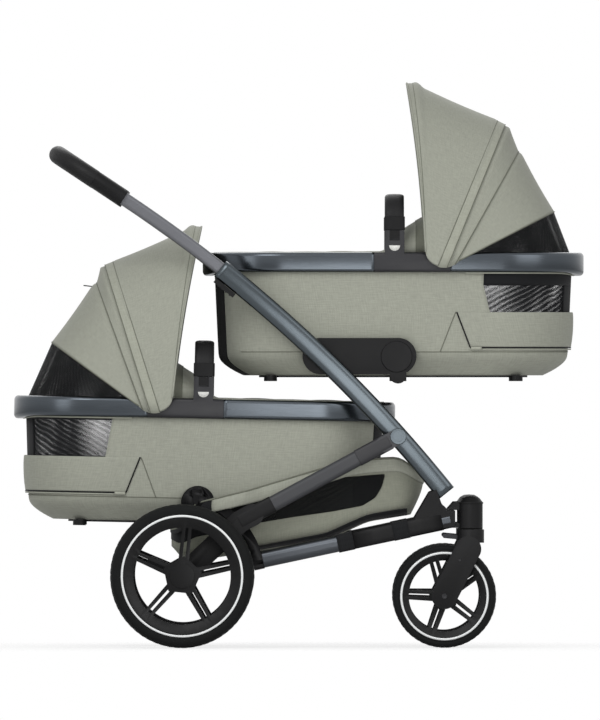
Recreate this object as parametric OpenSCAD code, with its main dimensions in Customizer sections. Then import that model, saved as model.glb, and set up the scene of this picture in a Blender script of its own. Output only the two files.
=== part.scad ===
// Twin pram: a curved folding chassis that carries two carrycots in line.
// Lengths in millimetres. +X is the front, +Z is up, the origin lies on the ground below the middle.

/* [Wheels] */
// Diameter of a rear wheel over its tyre
rear_wheel_d = 300; // [285:1:315]
// Width of a rear tyre
rear_tyre_w = 48; // [40:1:56]
// Radial height of a rear tyre
rear_tyre_h = 28; // [22:1:32]
// Radial depth of a rear wheel's rim ring
rear_rim_h = 21; // [16:1:26]
// Diameter of a front wheel over its tyre
front_wheel_d = 216; // [205:1:228]
// Width of a front tyre
front_tyre_w = 36; // [30:1:40]
// Radial height of a front tyre
front_tyre_h = 17; // [14:1:22]
// Radial depth of a front wheel's rim ring
front_rim_h = 17; // [13:1:20]
// Pairs of spokes in a wheel
spoke_pairs = 5; // [4:1:7]
// Width of one spoke
spoke_w = 8.5; // [7:0.5:11]
// Width of the slot between the two spokes of a pair
spoke_gap = 6; // [4:0.2:7]

/* [Frame] */
// Radius of the arc that the main tubes and the handle follow
arc_r = 2960; // [2700:10:3300]
// Place of the main tubes' upper end along X
collar_x = -163.5; // [-175:0.5:-150]
// Height of the main tubes' upper end
collar_z = 789; // [770:1:805]
// Slope of the main tubes at their upper end, in degrees
arc_tilt = 38.4; // [37.6:0.1:39.2]
// Height of a main tube's section, seen from the side
tube_h = 41; // [36:1:46]
// Width of a main tube's section
tube_w = 26; // [24:1:30]
// Gap between the cots and the main tubes
cot_gap = 4; // [3:0.5:8]
// Place of the front swivels along X
swivel_x = 356.5; // [340:0.5:370]
// How far a front axle trails its swivel
trail = 54; // [40:1:60]
// Place of the rear axle along X
axle_x = -243; // [-260:1:-230]
// Distance of the leg hinge from the collar, along the tube
hinge_at = 509; // [470:1:530]
// Length of a rear leg from its hinge
leg_len = 374; // [350:1:390]
// Slope of a rear leg, in degrees
leg_angle = 28.3; // [26:0.1:31]
// Height of a rear leg's section, seen from the side
leg_h = 33; // [28:1:38]
// Width of a rear leg's section
leg_w = 20; // [16:1:26]
// Height of a lower bar's section
bar_h = 35; // [30:1:38]

/* [Handle] */
// Height of a handle arm's section, seen from the side
arm_h = 28; // [24:1:30]
// Width of a handle arm's section
arm_w = 16; // [13:1:17]
// Bare length of a handle arm above the collar
handle_out_len = 248; // [200:1:270]
// Length of a plastic sleeve
sleeve_len = 74; // [60:1:90]
// Radius of the handle's two bends
grip_bend = 91; // [60:1:110]
// Outside diameter of the leather grip
grip_d = 38; // [36:1:42]
// Diameter of the handle tube inside the grip
core_d = 30; // [29:0.5:32]

/* [Cots] */
// Length of a cot over its rim
cot_l = 795; // [770:1:820]
// Width of a cot over its rim
cot_w = 410; // [390:1:430]
// Corner radius of a cot's rim, seen from above
cot_corner = 170; // [150:1:185]
// Depth from the rim's top to the underside of the tub
cot_depth = 256; // [248:1:262]
// Height of the rim
rim_h = 41; // [34:1:46]
// Thickness of the rim
rim_t = 22; // [18:1:26]
// Height of the upper cot's rim top
upper_z = 823; // [812:1:840]
// Height of the lower cot's rim top
lower_z = 518; // [512:1:526]
// Tilt of the lower cot, in degrees
lower_tilt = 1.1; // [0:0.1:1.4]
// Gap between a cot's foot end and the other cot's hood
hood_clear = 15.5; // [12:0.5:30]
// Thickness of a mattress at its edge
mattress_h = 32; // [24:1:40]

/* [Hoods] */
// Reach of a hood's front edge from its pivot
hood_r = 384; // [365:1:400]
// Distance of the hood pivot from the middle of the cot
pivot_x = 107; // [100:1:115]
// Depth of the hood pivot below the rim's top
pivot_drop = 22; // [19:0.5:24]
// Thickness of the hood's panels
hood_wall = 1.6; // [1.2:0.1:2]

/* [Carry handles] */
// Height of a carry handle above the rim
carry_h = 122; // [105:1:128]
// Width of a carry handle
carry_w = 41; // [36:1:43]
// Thickness of a carry handle
carry_t = 15; // [12:1:17]
// Height of a carry handle's sockets above the rim
socket_h = 46; // [40:1:50]

/* [Basket] */
// Length of the basket
basket_l = 526; // [510:1:530]
// Height of the basket's highest edge
basket_top = 395; // [385:1:400]
// Drop from the basket's highest edge to where its top line is measured from
basket_h = 214; // [200:1:220]
// Height of the basket's front end
basket_front_h = 113.4; // [100:0.2:125]
// Gap between the rear axle's tube and the basket's floor
basket_clear = 18; // [15:1:27]

/* [Hidden] */
CHASSIS = ["main_tube_left", "main_tube_right", "front_hub_left", "front_hub_right", "front_cross_tube",
    "lower_bar_left", "lower_bar_right", "basket", "upper_adapter_left", "upper_adapter_right",
    "lower_adapter_left", "lower_adapter_right", "leg_pins", "handlebar", "handle_grip", "handle_sleeves",
    "height_button_left", "height_button_right", "fold_slider_left", "fold_slider_right",
    "rear_leg_left", "rear_leg_right", "axle_housing_left", "axle_housing_right", "rear_axle", "brake_pedal",
    "rear_tyre_left", "rear_tyre_right", "rear_rim_left", "rear_rim_right",
    "front_fork_left", "front_fork_right", "front_tyre_left", "front_tyre_right",
    "front_rim_left", "front_rim_right", "swivel_lock_left", "swivel_lock_right"];
COT = ["rim_bows", "rim_sides", "tub", "base", "mattress", "apron",
    "hood_front", "hood_mid", "hood_rear", "carry_handle", "catches"];

$fn = 64;
arc_fn = 1440;
LEFT = 1;
RIGHT = -1;

// Shared clearances: how far a cut runs past a piece, a running fit, and the gap at a seat;
// a link's straight part is a little narrower than its round ends, so that they cross
link_share = 0.996;
overrun = 1;
fit = 0.05;
seat = 0.3;

// Colours
sage = "#94968a";
sage_dark = "#66665c";
anodised = "#4a4d52";
satin = "#757579";
black = "#2a2a2d";
rubber = "#262828";

// Layers across the pram: tubes outside the cots, legs outside the tubes, wheels outside the legs
leg_gap = 2;
wheel_gap = 5;
tube_y = cot_w / 2 + cot_gap + tube_w / 2;
tube_in = tube_y - tube_w / 2;
leg_y = tube_y + tube_w / 2 + leg_gap + leg_w / 2;
wheel_y = leg_y + leg_w / 2 + wheel_gap + rear_tyre_w / 2;

// The arc of the main tubes, by the distance from the collar
arc_c = [collar_x - arc_r * sin(arc_tilt), collar_z - arc_r * cos(arc_tilt)];
function arc_deg(s) = s / arc_r * 180 / PI;
function arc_pt(s, off = 0) = let (a = arc_tilt + arc_deg(s)) arc_c + (arc_r + off) * [sin(a), cos(a)];
function arc_s(x) = (asin((x - arc_c.x) / arc_r) - arc_tilt) * PI / 180 * arc_r;
function arc_s_at_z(z) = (acos((z - arc_c.y) / arc_r) - arc_tilt) * PI / 180 * arc_r;
function polar(c, r, a) = c + r * [cos(a), sin(a)];
function angle_of(v) = atan2(v.y, v.x);
function between(a, b, t) = a + (b - a) * t;

// Points of the frame, as X and Z
rear_r = rear_wheel_d / 2;
front_r = front_wheel_d / 2;
axle = [axle_x, rear_r];
hinge = arc_pt(hinge_at);
leg_end = polar(hinge, leg_len, 180 + leg_angle);
fork_axle = [swivel_x - trail, front_r];

// Front fork and its swivel
tyre_gap = 3;
crown_h = 27.7;
crown_r = 28.5;
swivel_gap = 0.8;
crown_z = front_wheel_d + tyre_gap;
housing_z = crown_z + crown_h + swivel_gap;
housing_r = 25;
housing_h = 51;
housing_cap = 19;
stem_r = 9;
stem_len = 42;
front_axle_r = 5;
fork_t = 8;
fork_w = 54;
fork_gap = 1.2;
fork_back = 4.5;
fork_drop = 13;
tyre_side = 2;
front_hub_w = front_tyre_w + 2 * tyre_side;
fork_y = front_hub_w / 2 + fork_gap + fork_t / 2;
fork_top = [swivel_x - fork_back, crown_z - fork_drop];
lock_w = 16;
lock_h = 9;
lock_len = 31;
lock_rise = 3;
lock_pin_r = 2.5;
lock_slot = 12;
lock_z_share = 0.4;
lock_pt = [swivel_x - crown_r + lock_slot / 2, crown_z + crown_h * lock_z_share];

// Front hub: a block round the ends of the main tube and of the lower bar
hub_w = 34;
hub_l = 60;
hub_back = 60;
hub_drop = 20;
housing_cap_shares = [0.7, 0.7];
bridge_w = 22;
bridge_t = 12;
tube_back = 50;
bar_back = 42;
bar_lift = 2;
hub_x = swivel_x - hub_back;
tube_end_s = arc_s(swivel_x - tube_back);
tube_end = arc_pt(tube_end_s);
bar_front = [swivel_x - bar_back, housing_z + bar_h / 2 + bar_lift];
hub_low = [hub_x, bar_front.y + bar_lift];
hub_high = [hub_x, tube_end.y - hub_drop];
cross_d = 22;
cross_pt = (hub_low + hub_high) / 2;

// Lower bar and the arched arm behind it, which follows the rear tyre
bar_wall = 2.5;
arm_band = 21.5;
arm_from = 11.5;
arm_cap = 3;
bar_rear = polar(axle, rear_r + arm_band, arm_from);

// Rear axle, legs and brake
axle_r = 8;
axle_tube_r = 13;
axle_in = leg_y - leg_w / 2 - seat;
housing_d = 46;
leg_wall = 3;
leg_socket = 30;
pin_r = 6;
pin_head_r = 11;
pin_head_t = 2.5;
pedal_len = 80;
pedal_angle = 156;
pedal_t = 20;
pedal_w = 90;
pedal_eye_r = 19;

// Wheel details
rear_hub_r = 42;
rear_cap_r = 25;
front_hub_r = 31;
front_cap_r = 18;
spoke_t = 13;
spoke_inset = 5;
spoke_end_share = 0.75;
rear_spoke_from = 12;
front_spoke_from = 34;
stripe_t = 1.5;
stripe_h = 5.7;
hub_skin = 6;
tyre_shares = [[0, 0.78], [0.2, 0.91], [0.45, 1], [0.7, 0.93], [0.88, 0.7], [0.97, 0.38], [1, 0]];
rim_half_share = 0.7;

// Handle
slide_gap = 0.5;
arm_in = 190;
core_lap = 15;
sleeve_d = 37;
sleeve_bore = core_d + 2 * seat;
button_r = 7;
button_proud = 3;
button_travel = 2.5;
button_at_share = 0.45;
boss_r = 11;
boss_h = 5;
pocket_h = 6;
slider_from = 6;
slider_len = 52;
slider_h = 10;
slider_w = 20;
slider_ribs = 4;
slider_rib_h = 3;
slider_rib_l = 4;
grip_slope = arc_tilt - arc_deg(handle_out_len);
grip_start = arc_pt(-handle_out_len);

// Cot, in its own frame: origin at the rim's top in the middle, +X to the head end
hood_lead = 20;
cot_offset = (cot_l / 2 - hood_lead + hood_clear) / 2;
tub_inset_l = 25.5;
tub_inset_w = 15;
tub_taper_l = 8;
tub_taper_w = 9;
tub_chamfer_l = 52;
tub_chamfer_w = 22;
tub_chamfer_h = 42;
tub_wall = 6;
tub_floor = 8;
rim_from = -40;
rim_to = 118;
rim_round = 7;
rim_drop_share = 0.27;
rim_drop_from_share = 0.86;
base_t = 4;
base_l = 560;
base_w = 290;
base_corner = 90;
foot_d = 27;
foot_h = 8;
foot_x = 256;
foot_y = 128;
crown_rise = 9;
mattress_gap = 4;
apron_t = 2;
apron_rise = 3;
flap_to = 63;
flap_rise = 74;
apron_power = 4;
draw_share = 0.04;
round_n = 3;
corner_n = 8;
edge_n = 6;
tub_half_l = cot_l / 2 - tub_inset_l;
tub_half_w = cot_w / 2 - tub_inset_w;
rim_mid_y = cot_w / 2 - rim_t / 2;

// Carry handle and its sockets
carry_x = 2.5;
carry_bend = 60;
tongue_w = 24;
tongue_t = 7;
tongue_h = 24;
catch_w = 20;
catch_h = 17;
catch_t = 5;
catch_below = 4;
tongue_z = socket_h - tongue_h;
catch_z = socket_h - catch_h;
label_r = 11.7;
label_t = 0.6;
label_top = 14.5;

// Hood: lines from the base to the crown, by angle about the pivot and as shares of hood_r and of the hub
hood_hub_r = 20;
hood_gap = 1.2;
hood_pin_r = 4;
hood_boss_r = 10.5;
hood_side = 7;
arch_n = 24;
panel_n = 2;
arch_power = 2.8;
hood_nest = hood_wall + hood_gap;
hood_angles = [103.1, 98.5, 68.2, 56.2, 25.7, 5];
hood_reach_shares = [1, 0.986, 0.819, 0.730, 0.673, 0.685];
hood_base_shares = [[-1.65, 0.1], [-0.95, 0.1], [-0.35, 0.4]];
hood_rear_base_shares = [0, 0.65, 2.1];
pivot = [pivot_x, -pivot_drop];
front_half_w = cot_w / 2 + hood_side;
rear_half_w = cot_w / 2 - rim_t / 3;

// Cot adapters
disc_x = 10;
disc_drop = 216;
disc_r = 35;
plate_y = cot_w / 2 - tub_inset_w - seat * 3;
disc_t = 8;
shelf_l = 34;
shelf_t = 8;
shelf_w = 66;
upper_disc_r = 38;
bridge_r = 13;
bridge_up = 20;

// Basket
basket_back = 23;
basket_wall = 3;
basket_corner = 40;
basket_edge_n = 14;
basket_x = axle_x - basket_back;
basket_z = axle.y + axle_tube_r + basket_clear;
basket_front_z = basket_top - basket_front_h;
basket_half_w = tube_in - seat;
basket_top_shares = [[0, 0.3], [0.044, 0.32], [0.078, 0.55], [0.312, 0.69], [0.707, 0.98],
    [0.912, 1], [1, 0.81]];
basket_floor_shares = [[0, 0], [0.618, 0.425], [0.778, 0.808], [1, 1]];
basket_side_shares = [[0, 0.74], [0.05, 0.93], [0.16, 1], [1, 1]];

// Places in the world of points given in a cot's frame
function upper_pt(p) = [cot_offset + p.x, upper_z + p.y];
function lower_pt(p) = [-cot_offset - p.x * cos(lower_tilt) + p.y * sin(lower_tilt),
    lower_z + p.x * sin(lower_tilt) + p.y * cos(lower_tilt)];

// Helpers: pieces of one side, flat plates, round bars and tubes
module on_side(side) {
    if (side == LEFT) children();
    else mirror([0, 1, 0]) children();
}

module at_cot(place) {
    if (place == "upper") translate([cot_offset, 0, upper_z]) children();
    else translate([-cot_offset, 0, lower_z]) rotate([0, lower_tilt, 0]) mirror([1, 0, 0]) children();
}

module side_plate(y, t) {
    translate([0, y + t / 2, 0]) rotate([90, 0, 0]) linear_extrude(t) children();
}

module link2d(p, q, w) {
    translate(p) circle(d = w);
    translate(q) circle(d = w);
    translate(p) rotate(angle_of(q - p)) translate([0, -w / 2 * link_share])
        square([norm(q - p), w * link_share]);
}

module slot2d(h, w) {
    for (e = [-1, 1]) translate([e * (h - w) / 2, 0]) circle(d = w);
    square([h - w, w], center = true);
}

module arc_tube(s0, s1, y, off = 0) {
    translate([arc_c.x, y, arc_c.y]) rotate([90, 0, 0]) rotate([0, 0, 90 - arc_tilt - arc_deg(s1)])
        rotate_extrude(angle = arc_deg(s1 - s0), $fn = arc_fn) translate([arc_r + off, 0]) children();
}

module straight_tube(p, q, y) {
    way = q - p;
    translate([p.x, y, p.y]) rotate([0, atan2(way.x, way.y), 0]) linear_extrude(norm(way)) children();
}

module cross_bar(p, y0, y1, r) {
    translate([p.x, y1, p.y]) rotate([90, 0, 0]) cylinder(r = r, h = y1 - y0);
}

module side_sector(c, r0, r1, a0, a1, y, t) {
    translate([c.x, y + t / 2, c.y]) rotate([90, 0, 0]) rotate([0, 0, a0])
        rotate_extrude(angle = a1 - a0) translate([r0, 0]) square([r1 - r0, t]);
}

// A closed skin over rings of equally many points; faces turn outward whichever way the rings run
function quad(a, b, c, d) = [[a, b, c], [a, c, d]];
function signed_volume(p, faces) =
    [for (f = faces) p[f[0]] * cross(p[f[1]], p[f[2]])] * [for (f = faces) 1] / 6;

module skin(rings) {
    n = len(rings[0]);
    m = len(rings);
    points = [for (r = rings) each r];
    sides = [for (i = [0 : m - 2]) for (j = [0 : n - 1]) let (k = (j + 1) % n)
        each quad(i * n + j, i * n + n + j, i * n + n + k, i * n + k)];
    first_cap = [for (j = [0 : n / 2 - 2]) each quad(j, j + 1, n - 2 - j, n - 1 - j)];
    last = (m - 1) * n;
    last_cap = [for (f = first_cap) [last + f[2], last + f[1], last + f[0]]];
    faces = concat(sides, first_cap, last_cap);
    polyhedron(points, signed_volume(points, faces) < 0 ? faces : [for (f = faces) [f[2], f[1], f[0]]]);
}

// Outline of a rounded rectangle, with points along its two long edges
function corner(x, y, r, a0) = [for (k = [0 : corner_n]) polar([x, y], r, a0 + 90 * k / corner_n)];
function long_edge(x, y, n) = [for (k = [1 : n - 1]) [x - 2 * x * k / n, y]];
function plan(l, w, r, n) = concat(
    corner(l - r, w - r, r, 0), long_edge(l - r, w, n), corner(r - l, w - r, r, 90),
    corner(r - l, r - w, r, 180), long_edge(r - l, -w, n), corner(l - r, r - w, r, 270));
function lift(outline, z) = [for (p = outline) [p.x, p.y, z]];

// Chassis

module main_tube(side) {
    color(anodised) on_side(side) difference() {
        arc_tube(0, tube_end_s, tube_y) slot2d(tube_h, tube_w);
        arc_tube(-overrun, tube_end_s + overrun, tube_y) slot2d(arm_h + 2 * slide_gap, arm_w + 2 * slide_gap);
        cross_bar(hinge, tube_in - overrun, tube_y + tube_w, pin_r + fit);
    }
}

module housing_shape() {
    shoulder = [housing_r * housing_cap_shares.x, housing_h + housing_cap * housing_cap_shares.y];
    tip = [0, housing_h + housing_cap];
    rotate_extrude() polygon([[0, 0], [housing_r, 0], [housing_r, housing_h], shoulder, tip]);
}

module front_hub(side) {
    color(black) on_side(side) difference() {
        union() {
            side_plate(tube_y, hub_w) link2d(hub_low, hub_high, hub_l);
            for (z = [housing_z + bridge_t / 2, housing_z + housing_h - bridge_t / 2])
                side_plate(tube_y, bridge_w) link2d([hub_x, z], [swivel_x, z], bridge_t);
            translate([swivel_x, tube_y, housing_z]) housing_shape();
        }
        arc_tube(0, tube_end_s + seat, tube_y) slot2d(tube_h + 2 * seat, tube_w + 2 * seat);
        straight_tube(bar_rear, bar_front + [seat, 0], tube_y) slot2d(bar_h + 2 * seat, tube_w + 2 * seat);
        translate([swivel_x, tube_y, housing_z - overrun])
            cylinder(r = stem_r + fit, h = stem_len + 2 * overrun);
    }
}

module front_cross_tube() {
    color(black) cross_bar(cross_pt, hub_w / 2 - tube_y, tube_y - hub_w / 2, cross_d / 2);
}

module lower_bar(side) {
    color(anodised) on_side(side) straight_tube(bar_rear, bar_front, tube_y) difference() {
        slot2d(bar_h, tube_w);
        slot2d(bar_h - 2 * bar_wall, tube_w - 2 * bar_wall);
    }
}

// Basket: a sagging tub with a low back, high sides and a round floor
function basket_height(x, u) = let (share = (x - basket_x) / basket_l,
        low = between(basket_z, basket_front_z, lookup(share, basket_floor_shares)),
        high = basket_top - basket_h * (1 - lookup(share, basket_top_shares)))
    between(low, high, u);
function basket_ring(u, w_share, inset, rise) = [for (p = plan(basket_l / 2 - inset,
        basket_half_w * w_share - inset, basket_corner, basket_edge_n))
    let (x = basket_x + basket_l / 2 + p.x) [x, p.y, basket_height(x, u) + rise]];

module basket() {
    outer = [for (s = basket_side_shares) basket_ring(s[0], s[1], 0, 0)];
    inner = [for (i = [len(basket_side_shares) - 1 : -1 : 0]) let (s = basket_side_shares[i])
        basket_ring(s[0], s[1], basket_wall, basket_wall * (1 - s[0]))];
    color(sage) skin(concat(outer, inner));
}

// Cot adapters: a shelf under the cot's base and a plate beside it
module cot_shelf(place) {
    at_cot(place) translate([disc_x - shelf_l / 2, plate_y + disc_t - shelf_w, -cot_depth - base_t - shelf_t])
        cube([shelf_l, shelf_w, shelf_t]);
}

module upper_adapter(side) {
    disc = upper_pt([disc_x, -disc_drop]);
    fixed = arc_pt(arc_s_at_z(disc.y));
    color(black) on_side(side) {
        side_plate((plate_y + tube_in) / 2, tube_in - plate_y) {
            link2d(fixed, disc, 2 * upper_disc_r);
            link2d(disc, upper_pt([disc_x, -cot_depth]), shelf_l);
        }
        cot_shelf("upper");
    }
}

module lower_adapter(side) {
    disc = lower_pt([disc_x, -disc_drop]);
    bridge = disc + bridge_up * [0, 1];
    arm_to = angle_of(disc - axle);
    inner_end = polar(axle, rear_r + arm_band / 2, arm_to);
    cap_from = polar(bar_rear, -arm_band, angle_of(bar_front - bar_rear));
    color(black) on_side(side) {
        side_plate(plate_y + disc_t / 2, disc_t) {
            translate(disc) circle(r = disc_r);
            link2d(disc, lower_pt([disc_x, -cot_depth - base_t - shelf_t / 2]), shelf_l);
        }
        cross_bar(bridge, plate_y, tube_y, bridge_r);
        side_plate(tube_y, tube_w - 2 * seat) link2d(inner_end, bridge, arm_band - 4 * seat);
        side_sector(axle, rear_r, rear_r + arm_band - seat, arm_from, arm_to, tube_y, tube_w);
        straight_tube(cap_from, bar_rear, tube_y) slot2d(bar_h + arm_cap, tube_w - 2 * seat);
        cot_shelf("lower");
    }
}

module leg_pins() {
    outer = leg_y + leg_w / 2 + seat;
    color(satin) for (side = [LEFT, RIGHT]) on_side(side) {
        cross_bar(hinge, tube_in, outer, pin_r);
        cross_bar(hinge, outer, outer + pin_head_t, pin_head_r);
    }
}

// Handle

module at_grip() {
    translate([grip_start.x, 0, grip_start.y]) rotate([0, 180 + grip_slope, 0]) children();
}

module grip_straights(d, from) {
    for (e = [-1, 1]) translate([from, e * tube_y, 0]) rotate([0, 90, 0])
        cylinder(d = d, h = sleeve_len - from);
}

module grip_loop(d) {
    for (side = [LEFT, RIGHT]) on_side(side) translate([sleeve_len, tube_y - grip_bend, 0])
        rotate_extrude(angle = 90) translate([grip_bend, 0]) circle(d = d);
    cross_bar([sleeve_len + grip_bend, 0], grip_bend - tube_y, tube_y - grip_bend, d / 2);
}

module handlebar() {
    color(satin) {
        for (e = [-1, 1]) arc_tube(-handle_out_len - core_lap, arm_in, e * tube_y) slot2d(arm_h, arm_w);
        at_grip() {
            grip_straights(core_d, 0);
            grip_loop(core_d);
        }
    }
}

module handle_grip() {
    color(black) at_grip() difference() {
        grip_loop(grip_d);
        grip_loop(sleeve_bore);
        grip_straights(sleeve_bore, 0);
    }
}

module at_button(side) {
    at_grip() on_side(side) translate([sleeve_len * button_at_share, tube_y - sleeve_d / 2 - boss_h, 0])
        rotate([-90, 0, 0]) children();
}

module handle_sleeves() {
    color(black) difference() {
        union() {
            at_grip() grip_straights(sleeve_d, 0);
            for (side = [LEFT, RIGHT]) at_button(side) cylinder(r = boss_r, h = boss_h + sleeve_d / 2);
        }
        at_grip() grip_straights(sleeve_bore, -overrun);
        at_grip() grip_loop(sleeve_bore);
        for (side = [LEFT, RIGHT]) at_button(side) translate([0, 0, -overrun])
            cylinder(r = button_r + fit, h = pocket_h + overrun);
    }
}

module height_button(side) {
    color(satin) at_button(side) translate([0, 0, -button_proud])
        cylinder(r = button_r, h = button_proud + pocket_h - button_travel - seat);
}

module fold_slider(side) {
    under = -tube_h / 2 - seat;
    color(black) on_side(side) {
        straight_tube(arc_pt(slider_from, under - slider_h / 2),
            arc_pt(slider_from + slider_len, under - slider_h / 2), tube_y)
            square([slider_h, slider_w], center = true);
        for (k = [1 : slider_ribs]) let (s = slider_from + slider_len * k / (slider_ribs + 1))
            straight_tube(arc_pt(s, under - slider_h), arc_pt(s + slider_rib_l, under - slider_h), tube_y)
                square([slider_rib_h, slider_w], center = true);
    }
}

// Rear frame

module rear_leg(side) {
    tube_from = polar(hinge, leg_h, 180 + leg_angle);
    bore_from = polar(tube_from, leg_h / 2, 180 + leg_angle);
    bore_to = polar(leg_end, overrun, 180 + leg_angle);
    color(anodised) on_side(side) difference() {
        union() {
            side_plate(leg_y, leg_w) link2d(hinge, tube_from, leg_h);
            straight_tube(tube_from, leg_end, leg_y) slot2d(leg_h, leg_w);
        }
        straight_tube(bore_from, bore_to, leg_y) slot2d(leg_h - 2 * leg_wall, leg_w - 2 * leg_wall);
        cross_bar(hinge, tube_y, leg_y + leg_w, pin_r + fit);
    }
}

module axle_housing(side) {
    socket = polar(leg_end, -leg_socket, 180 + leg_angle);
    slot_from = polar(socket, -housing_d, 180 + leg_angle);
    slot_to = polar(leg_end, seat, 180 + leg_angle);
    color(black) on_side(side) difference() {
        side_plate(leg_y, leg_w) {
            link2d(socket, leg_end, housing_d);
            link2d(leg_end, axle, housing_d);
        }
        straight_tube(slot_from, slot_to, leg_y) slot2d(leg_h + 2 * seat, leg_w + 2 * seat);
        cross_bar(axle, tube_y, leg_y + leg_w, axle_r + fit);
    }
}

module rear_axle() {
    end = wheel_y + rear_tyre_w / 2 - hub_skin - seat;
    color(satin) {
        cross_bar(axle, -axle_in, axle_in, axle_tube_r);
        cross_bar(axle, -end, end, axle_r);
    }
}

module brake_pedal() {
    tip = polar(axle, pedal_len - pedal_t / 2, pedal_angle);
    color(black) difference() {
        union() {
            side_plate(0, pedal_w) link2d(polar(axle, pedal_eye_r, pedal_angle), tip, pedal_t);
            side_plate(0, pedal_w / 2) translate(axle) circle(r = pedal_eye_r);
        }
        cross_bar(axle, -pedal_w, pedal_w, axle_tube_r + fit);
    }
}

// Wheels, built about their axle and carried to their place

module at_wheel(c, y) {
    translate([c.x, y, c.y]) rotate([90, 0, 0]) children();
}

module tyre_shape(r, w, h) {
    near = [for (s = tyre_shares) [r - h + h * s[0], w / 2 * s[1]]];
    far = [for (i = [len(near) - 2 : -1 : 0]) [near[i].x, -near[i].y]];
    rotate_extrude() polygon(concat(near, far));
}

// The rim's outer side lies towards -Z here
module rim_shape(r, w, tyre_h, rim_h, hub_r, cap_r, hub_half, bore_r, from) {
    half = w / 2 * rim_half_share;
    seat_r = r - seat;
    stripe_in = -w / 2 * tyre_shares[1][1] - seat;
    stripe_out = stripe_in - stripe_t;
    spoke_l = r - rim_h / 2 - hub_r / 2;
    difference() {
        union() {
            rotate_extrude() polygon([[r - rim_h, -half], [seat_r - stripe_h / 2, stripe_out],
                [seat_r, stripe_out], [seat_r, half + stripe_t], [r - rim_h, half + stripe_t]]);
            rotate_extrude() translate([seat_r - stripe_h / 2, stripe_out])
                square([stripe_h / 2 + seat + tyre_h * tyre_shares[1][0], stripe_t]);
            translate([0, 0, -half]) linear_extrude(spoke_t) for (k = [0 : spoke_pairs - 1], e = [-1, 1])
                rotate(from + 360 * k / spoke_pairs) translate([hub_r / 2, e * spoke_gap / 2])
                    polygon([[0, 0], [spoke_l, 0], [spoke_l, e * spoke_w * spoke_end_share],
                        [0, e * spoke_w]]);
            translate([0, 0, -half - spoke_inset / 2]) rotate(from)
                cylinder(r = hub_r, h = spoke_t + spoke_inset, $fn = spoke_pairs);
            translate([0, 0, -w / 2]) cylinder(r = cap_r, h = w / 2 + hub_half);
        }
        translate([0, 0, hub_skin - w / 2]) cylinder(r = bore_r, h = 2 * w);
    }
}

module rear_tyre(side) {
    color(rubber) on_side(side) at_wheel(axle, wheel_y) tyre_shape(rear_r, rear_tyre_w, rear_tyre_h);
}

module rear_rim(side) {
    hub_half = rear_tyre_w / 2 + wheel_gap / 2;
    color(black) on_side(side) at_wheel(axle, wheel_y)
        rim_shape(rear_r - rear_tyre_h, rear_tyre_w, rear_tyre_h, rear_rim_h, rear_hub_r, rear_cap_r,
            hub_half, axle_r + fit, rear_spoke_from);
}

module front_tyre(side) {
    color(rubber) on_side(side) at_wheel(fork_axle, tube_y) tyre_shape(front_r, front_tyre_w, front_tyre_h);
}

module front_rim(side) {
    color(black) on_side(side) difference() {
        at_wheel(fork_axle, tube_y) rim_shape(front_r - front_tyre_h, front_tyre_w, front_tyre_h,
            front_rim_h, front_hub_r, front_cap_r, front_hub_w / 2, front_axle_r + fit, front_spoke_from);
        cross_bar(fork_axle, tube_y - front_hub_w, tube_y + front_hub_w, front_axle_r + fit);
    }
}

module front_fork(side) {
    slot_y = lock_w / 2 + seat;
    color(black) on_side(side) {
        difference() {
            union() {
                for (e = [-1, 1]) side_plate(tube_y + e * fork_y, fork_t) link2d(fork_top, fork_axle, fork_w);
                translate([swivel_x, tube_y, crown_z]) {
                    cylinder(r = crown_r, h = crown_h);
                    cylinder(r = stem_r, h = crown_h + swivel_gap + stem_len);
                }
            }
            translate([swivel_x - 2 * crown_r, tube_y - slot_y, crown_z - overrun])
                cube([crown_r + lock_slot, 2 * slot_y, crown_h + 2 * overrun]);
        }
        cross_bar(fork_axle, tube_y - fork_y, tube_y + fork_y, front_axle_r);
        cross_bar(lock_pt, tube_y - slot_y - overrun, tube_y + slot_y + overrun, lock_pin_r);
    }
}

module swivel_lock(side) {
    color(black) on_side(side) difference() {
        side_plate(tube_y, lock_w) link2d(lock_pt, lock_pt + [-lock_len, lock_rise], lock_h);
        cross_bar(lock_pt, tube_y - lock_w, tube_y + lock_w, lock_pin_r + fit);
    }
}

// Carrycot

// The rim's section: outward distance from its middle line and height, rounded at the outer edges
function rim_arc(x, z, a0, r) = [for (k = [0 : round_n]) polar([x, z], r, a0 - 90 * k / round_n)];
rim_section = concat(
    rim_arc(rim_t / 2 - rim_round, -rim_round, 90, rim_round),
    rim_arc(rim_t / 2 - rim_round, rim_round - rim_h, 0, rim_round),
    [[-rim_t / 2, -rim_h], [-rim_t / 2, 0]]);

// The rim's lower edge drops towards the ends of the cot
function rim_drop(x) = let (from = cot_l / 2 * rim_drop_from_share)
    rim_drop_share * pow(max(0, (abs(x) - from) / (cot_l / 2 - from)), 2);

// Stations of an end bow, with end 1 at the head and -1 at the foot: a point and its outward normal
function bow_turn(y, a0, end) = [for (k = [0 : corner_n])
    let (a = a0 + 90 * k / corner_n, out = [end * cos(a), sin(a)])
    [[end * (cot_l / 2 - cot_corner), y] + (cot_corner - rim_t / 2) * out, out]];
function bow_path(x0, end) = let (y = cot_w / 2 - cot_corner) concat([[[x0, -rim_mid_y], [0, -1]]],
    bow_turn(-y, -90, end), bow_turn(y, 0, end), [[[x0, rim_mid_y], [0, 1]]]);
function bow_rings(x0, end) = [for (s = bow_path(x0, end)) [for (p = rim_section)
    let (at = s[0] + s[1] * p.x) [at.x, at.y, p.y * (1 + rim_drop(s[0].x))]]];

module rim_bows(place) {
    color(anodised) at_cot(place) {
        skin(bow_rings(rim_from, -1));
        skin(bow_rings(rim_to, 1));
    }
}

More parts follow.
